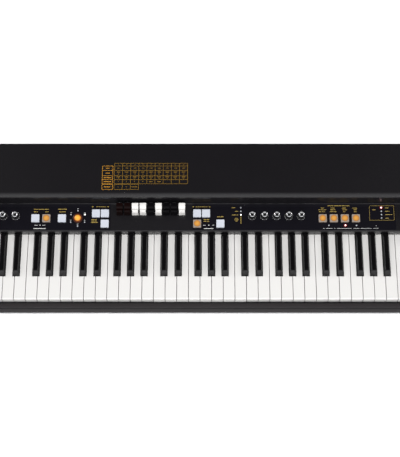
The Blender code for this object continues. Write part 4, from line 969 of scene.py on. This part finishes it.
for count, (x, tone) in enumerate(zip(DRAWBARS, DRAWBAR_COLOURS)):
    node = f"drawbar_{count + 1}"
    place = on_panel(x, CAP_FRONT)
    cap = drawbar_cap()
    put(cap, place)
    cap = piece(node + "_cap", cap, cap_plastic[tone], node)
    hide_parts(node)
    bar_shape = bmesh.new()
    box_in(bar_shape, (-BAR_HALF, BAR_START, BAR_LOW), (BAR_HALF, BAR_BACK, BAR_LOW + BAR_SHEET))
    ease(bar_shape, bar_shape.edges[:], BAR_EDGE, 2)
    put(bar_shape, place)
    piece(node + "_bar", bar_shape, black_plastic, node)
    figures = bmesh.new()
    for step in range(8):
        behind = WALL_ROW - CAP_FRONT + DRAWBAR_STEP * (step + STEP_MIDDLE)
        number_in(figures, step + 1, 0, behind, BAR_LOW + BAR_SHEET, DIGIT, place)
    piece(node + "_numbers", figures, white_ink, node)


# Rear: a flat black panel with a long window, and behind it the socket plate with its circuit board.
# Jacks have nickel bushings with hexagon nuts, the other sockets are moulded or pressed steel.
PLATE_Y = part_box("jack_board")[1].y
PANEL_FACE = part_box("rear_panel")[1].y
SOCKET_Z = 0.052
SWITCH_X = 0.0487 - SHELL_HALF
JACK_X = [SWITCH_X + 0.124 + i * 0.022 for i in range(5)]
DIN_X = [SWITCH_X + 0.070, SWITCH_X + 0.096]
DC_X, USB_X = SWITCH_X + 0.024, SWITCH_X + 0.044
BUSHING_SIDE = [             # radius and height over the plate
    (0.00345, -0.012), (0.00345, 0.0029), (0.0036, 0.0033), (0.0043, 0.0033), (0.0046, 0.0030), (0.0046, 0.0),
    (0.0041, -0.0002), (0.0041, -0.012),
]
NUT_FLATS = [(0.0110, 0.0001), (0.0110, 0.0018), (0.0103, 0.0022)]   # size and height of each hexagon
NUT_HOLE = [(0.0098, 0.0022), (0.0093, 0.0019), (0.0093, 0.0001)]
NUT_TWIST = 0.4              # each nut is turned this much further than the last
DIN_SIDE = [(0.0061, -0.0085), (0.0061, -0.0002), (0.0064, 0.0), (0.0067, -0.0002), (0.0067, -0.0085)]
DIN_RADIUS, DIN_LOW, DIN_DEPTH = 0.0060, -0.0080, 0.0055
PIN_CIRCLE, PIN_RADIUS, PIN_LOW, PIN_DEPTH = 0.0034, 0.00075, -0.0065, 0.0060
DIN_KEY = ((-0.0011, 0.0048, PIN_LOW), (0.0011, 0.0062, -0.0005))
USB_HALF, USB_TALL, USB_CORNER = 0.0041, 0.0038, 0.0018
USB_RINGS = [(0, -0.0105), (0, 0.0006), (-0.0004, 0.0006), (-0.0004, -0.0105)]
TONGUE, TONGUE_EDGE = ((-0.0028, -0.0016, -0.0107), (0.0028, 0.0016, -0.0012)), 0.0003
DC_SIDE = [
    (0.0031, -0.0095), (0.0031, 0.0002), (0.0034, 0.0008), (0.0050, 0.0008), (0.0054, 0.0004),
    (0.0054, 0.0001), (0.0039, 0.0001), (0.0039, -0.0095),
]
CONTACT_ROWS = [(-0.0017, -0.00155), (0.00155, 0.0017)]     # under and over the tongue
CONTACT_STEP, CONTACT_HALF, CONTACT_LOW, CONTACT_HIGH = 0.0012, 0.0004, -0.0100, -0.0018
DC_PIN, DC_PIN_TIP, DC_PIN_LOW, DC_PIN_LENGTH = 0.0010, 0.0009, -0.0095, 0.0080
PRINT_Z, JACK_DIGIT = 0.0735, 0.0050
REAR_LINES = [(1, -0.0007, 0.0007), (0.6, -0.0029, -0.0015)]  # share of the length, lower and upper edge
JACK_LINE, JACK_LINE_OVER = (0.0795, 0.0800), 0.008
REAR_BARS = [(DC_X, 0.0045), (USB_X, 0.0045), (DIN_X[0], 0.0065), (DIN_X[1], 0.0065), (SWITCH_X, 0.0050)]
PANEL_SCREWS = [(x, PANEL_FACE, z) for x in (-0.415, -0.208, 0, 0.208, 0.415) for z in (0.019, 0.110)]
PLATE_SCREWS = [(x, PLATE_Y, 0.0435) for x in (SWITCH_X + 0.0125, -0.241, -0.197, -0.157, -0.319, -0.293)]
OUT_OF_BACK = Matrix(((-1, 0, 0, 0), (0, 0, 1, 0), (0, 1, 0, 0), (0, 0, 0, 1)))
dress("rear_panel", black_coat)
dress("jack_board", black_plastic)
nickel = surface("nickel", (0.66, 0.64, 0.60), 0.22, relief=0.00001, Metallic=1.0)
contact_gold = surface("contact_gold", (0.83, 0.60, 0.24), 0.3, relief=0.00001, Metallic=1.0)


def at_back(x, y=PLATE_Y, z=SOCKET_Z):
    """A place on the plate: X to the left as seen from behind, Y up and Z out of the back."""
    return Matrix.Translation((x, y, z)) @ OUT_OF_BACK


def collar_in(shape, profile, place):
    """Add a ring round a socket's axis by its closed profile."""
    put(shape, place, spun_in(shape, profile, 32, closed=True))


def hollow_loft(shape, rings, place):
    """Join closed rings of equal count one to the next and the last to the first."""
    loops = [[shape.verts.new(place @ Vector(point)) for point in ring] for ring in rings]
    for lower, upper in zip(loops, loops[1:] + loops[:1]):
        for i in range(len(lower)):
            j = (i + 1) % len(lower)
            shape.faces.new((lower[i], lower[j], upper[j], upper[i]))
    face_out(shape)


def ring_points(size, height, hexagon=False, count=48):
    """Points of a circle by its diameter, or of a hexagon by its size across flats."""
    points = []
    for angle in (math.tau * i / count for i in range(count)):
        reach = size / 2
        if hexagon:
            reach = reach / math.cos((angle + math.pi / 6) % (math.pi / 3) - math.pi / 6)
        points.append((reach * math.cos(angle), reach * math.sin(angle), height))
    return points


bushings, nuts = bmesh.new(), bmesh.new()
for count, x in enumerate(JACK_X):
    collar_in(bushings, BUSHING_SIDE, at_back(x))
    rings = [ring_points(*ring, hexagon=True) for ring in NUT_FLATS]
    rings += [ring_points(*ring) for ring in NUT_HOLE]
    hollow_loft(nuts, rings, at_back(x) @ Matrix.Rotation(NUT_TWIST * count, 4, "Z"))
piece("jack_bushings", bushings, nickel)
piece("jack_nuts", nuts, nickel, corner=20)

shields, inserts, pins = bmesh.new(), bmesh.new(), bmesh.new()
for x in DIN_X:
    collar_in(shields, DIN_SIDE, at_back(x))
    rod_in(inserts, (0, 0, DIN_LOW), DIN_RADIUS, DIN_DEPTH, at_back(x))
    for angle in (math.radians(180 + 45 * count) for count in range(5)):
        rod_in(pins, (PIN_CIRCLE * math.cos(angle), PIN_CIRCLE * math.sin(angle), PIN_LOW), PIN_RADIUS,
               PIN_DEPTH, at_back(x), sides=12)
    box_in(pins, *DIN_KEY, at_back(x))
piece("din_shields", shields, nickel)
cut_away(piece("din_inserts", inserts, black_plastic), pins)

rings = []
for grown, height in USB_RINGS:
    w, h = USB_HALF + grown, USB_TALL + grown
    rings.append([(-w, -h, height), (w, -h, height), (w, h - USB_CORNER, height), (w - USB_CORNER, h, height),
                  (-w + USB_CORNER, h, height), (-w, h - USB_CORNER, height)])
usb_shell = bmesh.new()
hollow_loft(usb_shell, rings, at_back(USB_X))
piece("usb_shell", usb_shell, nickel)
tongue = bmesh.new()
box_in(tongue, *TONGUE, at_back(USB_X))
ease(tongue, tongue.edges[:], TONGUE_EDGE, 2)
piece("usb_tongue", tongue, black_plastic)
contacts = bmesh.new()
for low, high in CONTACT_ROWS:
    for x in (-CONTACT_STEP, CONTACT_STEP):
        box_in(contacts, (x - CONTACT_HALF, low, CONTACT_LOW), (x + CONTACT_HALF, high, CONTACT_HIGH),
               at_back(USB_X))
rod_in(contacts, (0, 0, DC_PIN_LOW), DC_PIN, DC_PIN_LENGTH, at_back(DC_X), sides=20, tip=DC_PIN_TIP)
piece("contacts", contacts, contact_gold)
inlet = bmesh.new()
collar_in(inlet, DC_SIDE, at_back(DC_X))
piece("dc_inlet_rim", inlet, black_plastic)

prints = bmesh.new()
for count, x in enumerate(JACK_X):
    number_in(prints, 5 - count, 0, 0, 0, JACK_DIGIT, at_back(x, PANEL_FACE, PRINT_Z))
for x, reach in REAR_BARS:
    for share, low, high in REAR_LINES:
        box_in(prints, (-reach * share, low, -PRINT_UNDER), (reach * share, high, PRINT_OVER),
               at_back(x, PANEL_FACE, PRINT_Z))
box_in(prints, (JACK_X[0] - JACK_LINE_OVER, PANEL_FACE - PRINT_UNDER, JACK_LINE[0]),
       (JACK_X[-1] + JACK_LINE_OVER, PANEL_FACE + PRINT_OVER, JACK_LINE[1]))
piece("rear_print", prints, white_ink)
screws("rear_panel_screws", PANEL_SCREWS, (0, 1, 0), black_zinc, 0.95)
screws("socket_plate_screws", PLATE_SCREWS, (0, 1, 0), zinc, 0.7)


# Power switch: a black rocker that tips on a pin, with a white bar and ring for on and off, in a thin
# frame that is clipped into the socket plate.
ROCKER_PIVOT = Vector((SWITCH_X, PLATE_Y - 0.001, SOCKET_Z))
ROCKER_ROUND, ROCKER_DEEP, ROCKER_HALF, ROCKER_EDGE = 0.0094, 0.008, 0.006, 0.0005
ROCKER_FACE = [(0.0002, 0.0), (0.0005, 0.0035), (0.0011, 0.0068)]    # the upper half, out and up
FRAME_RINGS = [(0.0004, 0.0001), (0.0004, 0.0008), (0.0020, 0.0008), (0.0024, 0.0004), (0.0024, 0.0001)]
SIGN_AT, SIGN_OUT, SIGN_OVER = 0.0052, 0.00082, 0.00006
SIGN_LEAN = math.atan2(0.0009, 0.0068)
ON_BAR = ((-0.0003, -0.0015, -PRINT_UNDER), (0.0003, 0.0015, SIGN_OVER))
OFF_RING = [(0.0011, -PRINT_UNDER), (0.0016, -PRINT_UNDER), (0.0016, SIGN_OVER), (0.0011, SIGN_OVER)]
upper_half = ROCKER_FACE + [
    (ROCKER_ROUND * math.sin(angle), ROCKER_ROUND * math.cos(angle))
    for angle in (math.radians(12 - 4.5 * i) for i in range(9))] + [(-ROCKER_DEEP, 0.004)]
rocker = bmesh.new()
draw_out(rocker, upper_half + [(y, -z) for y, z in reversed(upper_half[1:])], -ROCKER_HALF, 2 * ROCKER_HALF)
edges = [e for e in rocker.edges if e.calc_face_angle() > math.radians(60)
         and max(v.co.y for v in e.verts) > -ROCKER_DEEP / 2]
ease(rocker, edges, ROCKER_EDGE, 3)
rocker_place = Matrix.Translation(ROCKER_PIVOT) @ Matrix.Rotation(math.radians(-8), 4, "X")
put(rocker, rocker_place)
rocker = piece("power_switch_rocker", rocker, cap_plastic["black"], "power_switch")
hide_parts("power_switch")
signs = bmesh.new()
on_sign, off_sign = (rocker_place @ Matrix.Translation((0, SIGN_OUT, side * SIGN_AT)) @ OUT_OF_BACK
                     @ Matrix.Rotation(side * SIGN_LEAN, 4, "X") for side in (1, -1))
box_in(signs, *ON_BAR, on_sign)
collar_in(signs, OFF_RING, off_sign)
piece("power_switch_marks", signs, white_ink, "power_switch")
rings = []
for grown, height in FRAME_RINGS:
    w, h = ROCKER_HALF + grown, ROCKER_ROUND + grown
    rings.append([(-w, -h, height), (w, -h, height), (w, h, height), (-w, h, height)])
switch_frame = bmesh.new()
hollow_loft(switch_frame, rings, at_back(SWITCH_X))
piece("power_switch_frame", switch_frame, black_plastic)


# Cheeks: two boards painted black, high at the deck, raked down to the panel lip and low beside the
# keys. Each is held by four screws in counterbores.
CHEEK_WIDTH, CHEEK_EDGE = 0.020, 0.0015
CHEEK_OVER_KEYS = 0.008
CHEEK_SIDE = [               # distance, height and radius of each corner
    (BACK_Y, FLOOR_Z, 0), (BACK_Y, DECK_Z, 0.0025), (WALL_Y, DECK_Z, 0.012),
    (LIP_Y - 0.007, PANEL_Z + 0.007, 0.010), (LIP_Y - 0.014, KEY_TOP + CHEEK_OVER_KEYS, 0.006),
    (FRONT_Y, KEY_TOP + CHEEK_OVER_KEYS, 0.010), (FRONT_Y, FLOOR_Z, 0),
]
CHEEK_SCREWS = [(y, 0.032) for y in (-0.13, -0.03, 0.06, 0.13)]
BORE_RADIUS, BORE_DEPTH, BORE_CUT = 0.0045, 0.0022, 0.005
black_wood = surface("black_painted_wood", (0.0060, 0.0055, 0.0062), 0.42, relief=0.00006,
                     stretch=(1, 0.08, 1), Specular_IOR_Level=0.35)
for name, side in (("cheek_left", -1), ("cheek_right", 1)):
    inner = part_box(name)[1 if side < 0 else 0].x
    outer = inner + side * CHEEK_WIDTH
    board = bmesh.new()
    draw_out(board, [(y, z) for y, z, _ in CHEEK_SIDE], inner, outer - inner)
    for index, (y, z, radius) in enumerate(CHEEK_SIDE):
        if radius:
            round_fold(board, CHEEK_SIDE, index, radius)
    rims = [e for e in board.edges if e.calc_face_angle() > math.radians(60)]
    ease(board, rims, CHEEK_EDGE, 4)
    cheek = piece(name + "_board", board, black_wood)
    bores = bmesh.new()
    seats = [(outer - side * BORE_DEPTH, y, z) for y, z in CHEEK_SCREWS]
    for seat in seats:
        out = Matrix.Translation(seat) @ Matrix.Rotation(side * math.radians(90), 4, "Y")
        rod_in(bores, (0, 0, 0), BORE_RADIUS, BORE_CUT, out)
    cut_away(cheek, bores)
    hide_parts(name)
    screws(name + "_screws", seats, (side, 0, 0), black_zinc, 1.2)


# Front rail: the key slip, a channel of dark grey coated steel, open below, with a rounded front edge
# and a shallow groove along the front, its faces painted black as the shade of a seam.
RAIL_BEND, RAIL_FOLD = 0.0028, 0.010
SEAM_TOP, SEAM_HEIGHT, SEAM_DEPTH, SEAM_EDGE = 0.0060, 0.0033, 0.0008, 0.0005
seam_high, seam_low = RAIL_TOP - SEAM_TOP, RAIL_TOP - SEAM_TOP - SEAM_HEIGHT
grey_coat = surface("grey_powder_coat", (0.0203, 0.0187, 0.0194), 0.5, grain=1600, relief=0.00003,
                    Specular_IOR_Level=0.015)
# Dead black with no shine: painted shade, laid in the groove to stand in for the dark of a seam.
painted_seam_shade = surface("painted_seam_shade", (0.0015, 0.0015, 0.0016), 0.9, Specular_IOR_Level=0.0)
rail = bent_sheet("front_rail_channel", [
    (FRONT_Y, FLOOR_Z), (FRONT_Y, seam_low), (FRONT_Y + SEAM_DEPTH, seam_low + SEAM_EDGE),
    (FRONT_Y + SEAM_DEPTH, seam_high - SEAM_EDGE), (FRONT_Y, seam_high), (FRONT_Y, RAIL_TOP),
    (rail_high.y, RAIL_TOP), (rail_high.y, RAIL_TOP - RAIL_FOLD),
], [(5, RAIL_BEND), (6, RAIL_BEND)], RAIL_SHEET, grey_coat)
rail.data.materials.append(painted_seam_shade)
# The faces in the groove take the painted shade.
for facet in rail.data.polygons:
    in_front = facet.center.y < FRONT_Y + SEAM_DEPTH + SEAM_EDGE
    facet.material_index = int(in_front and seam_low < facet.center.z < seam_high)
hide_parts("front_rail")
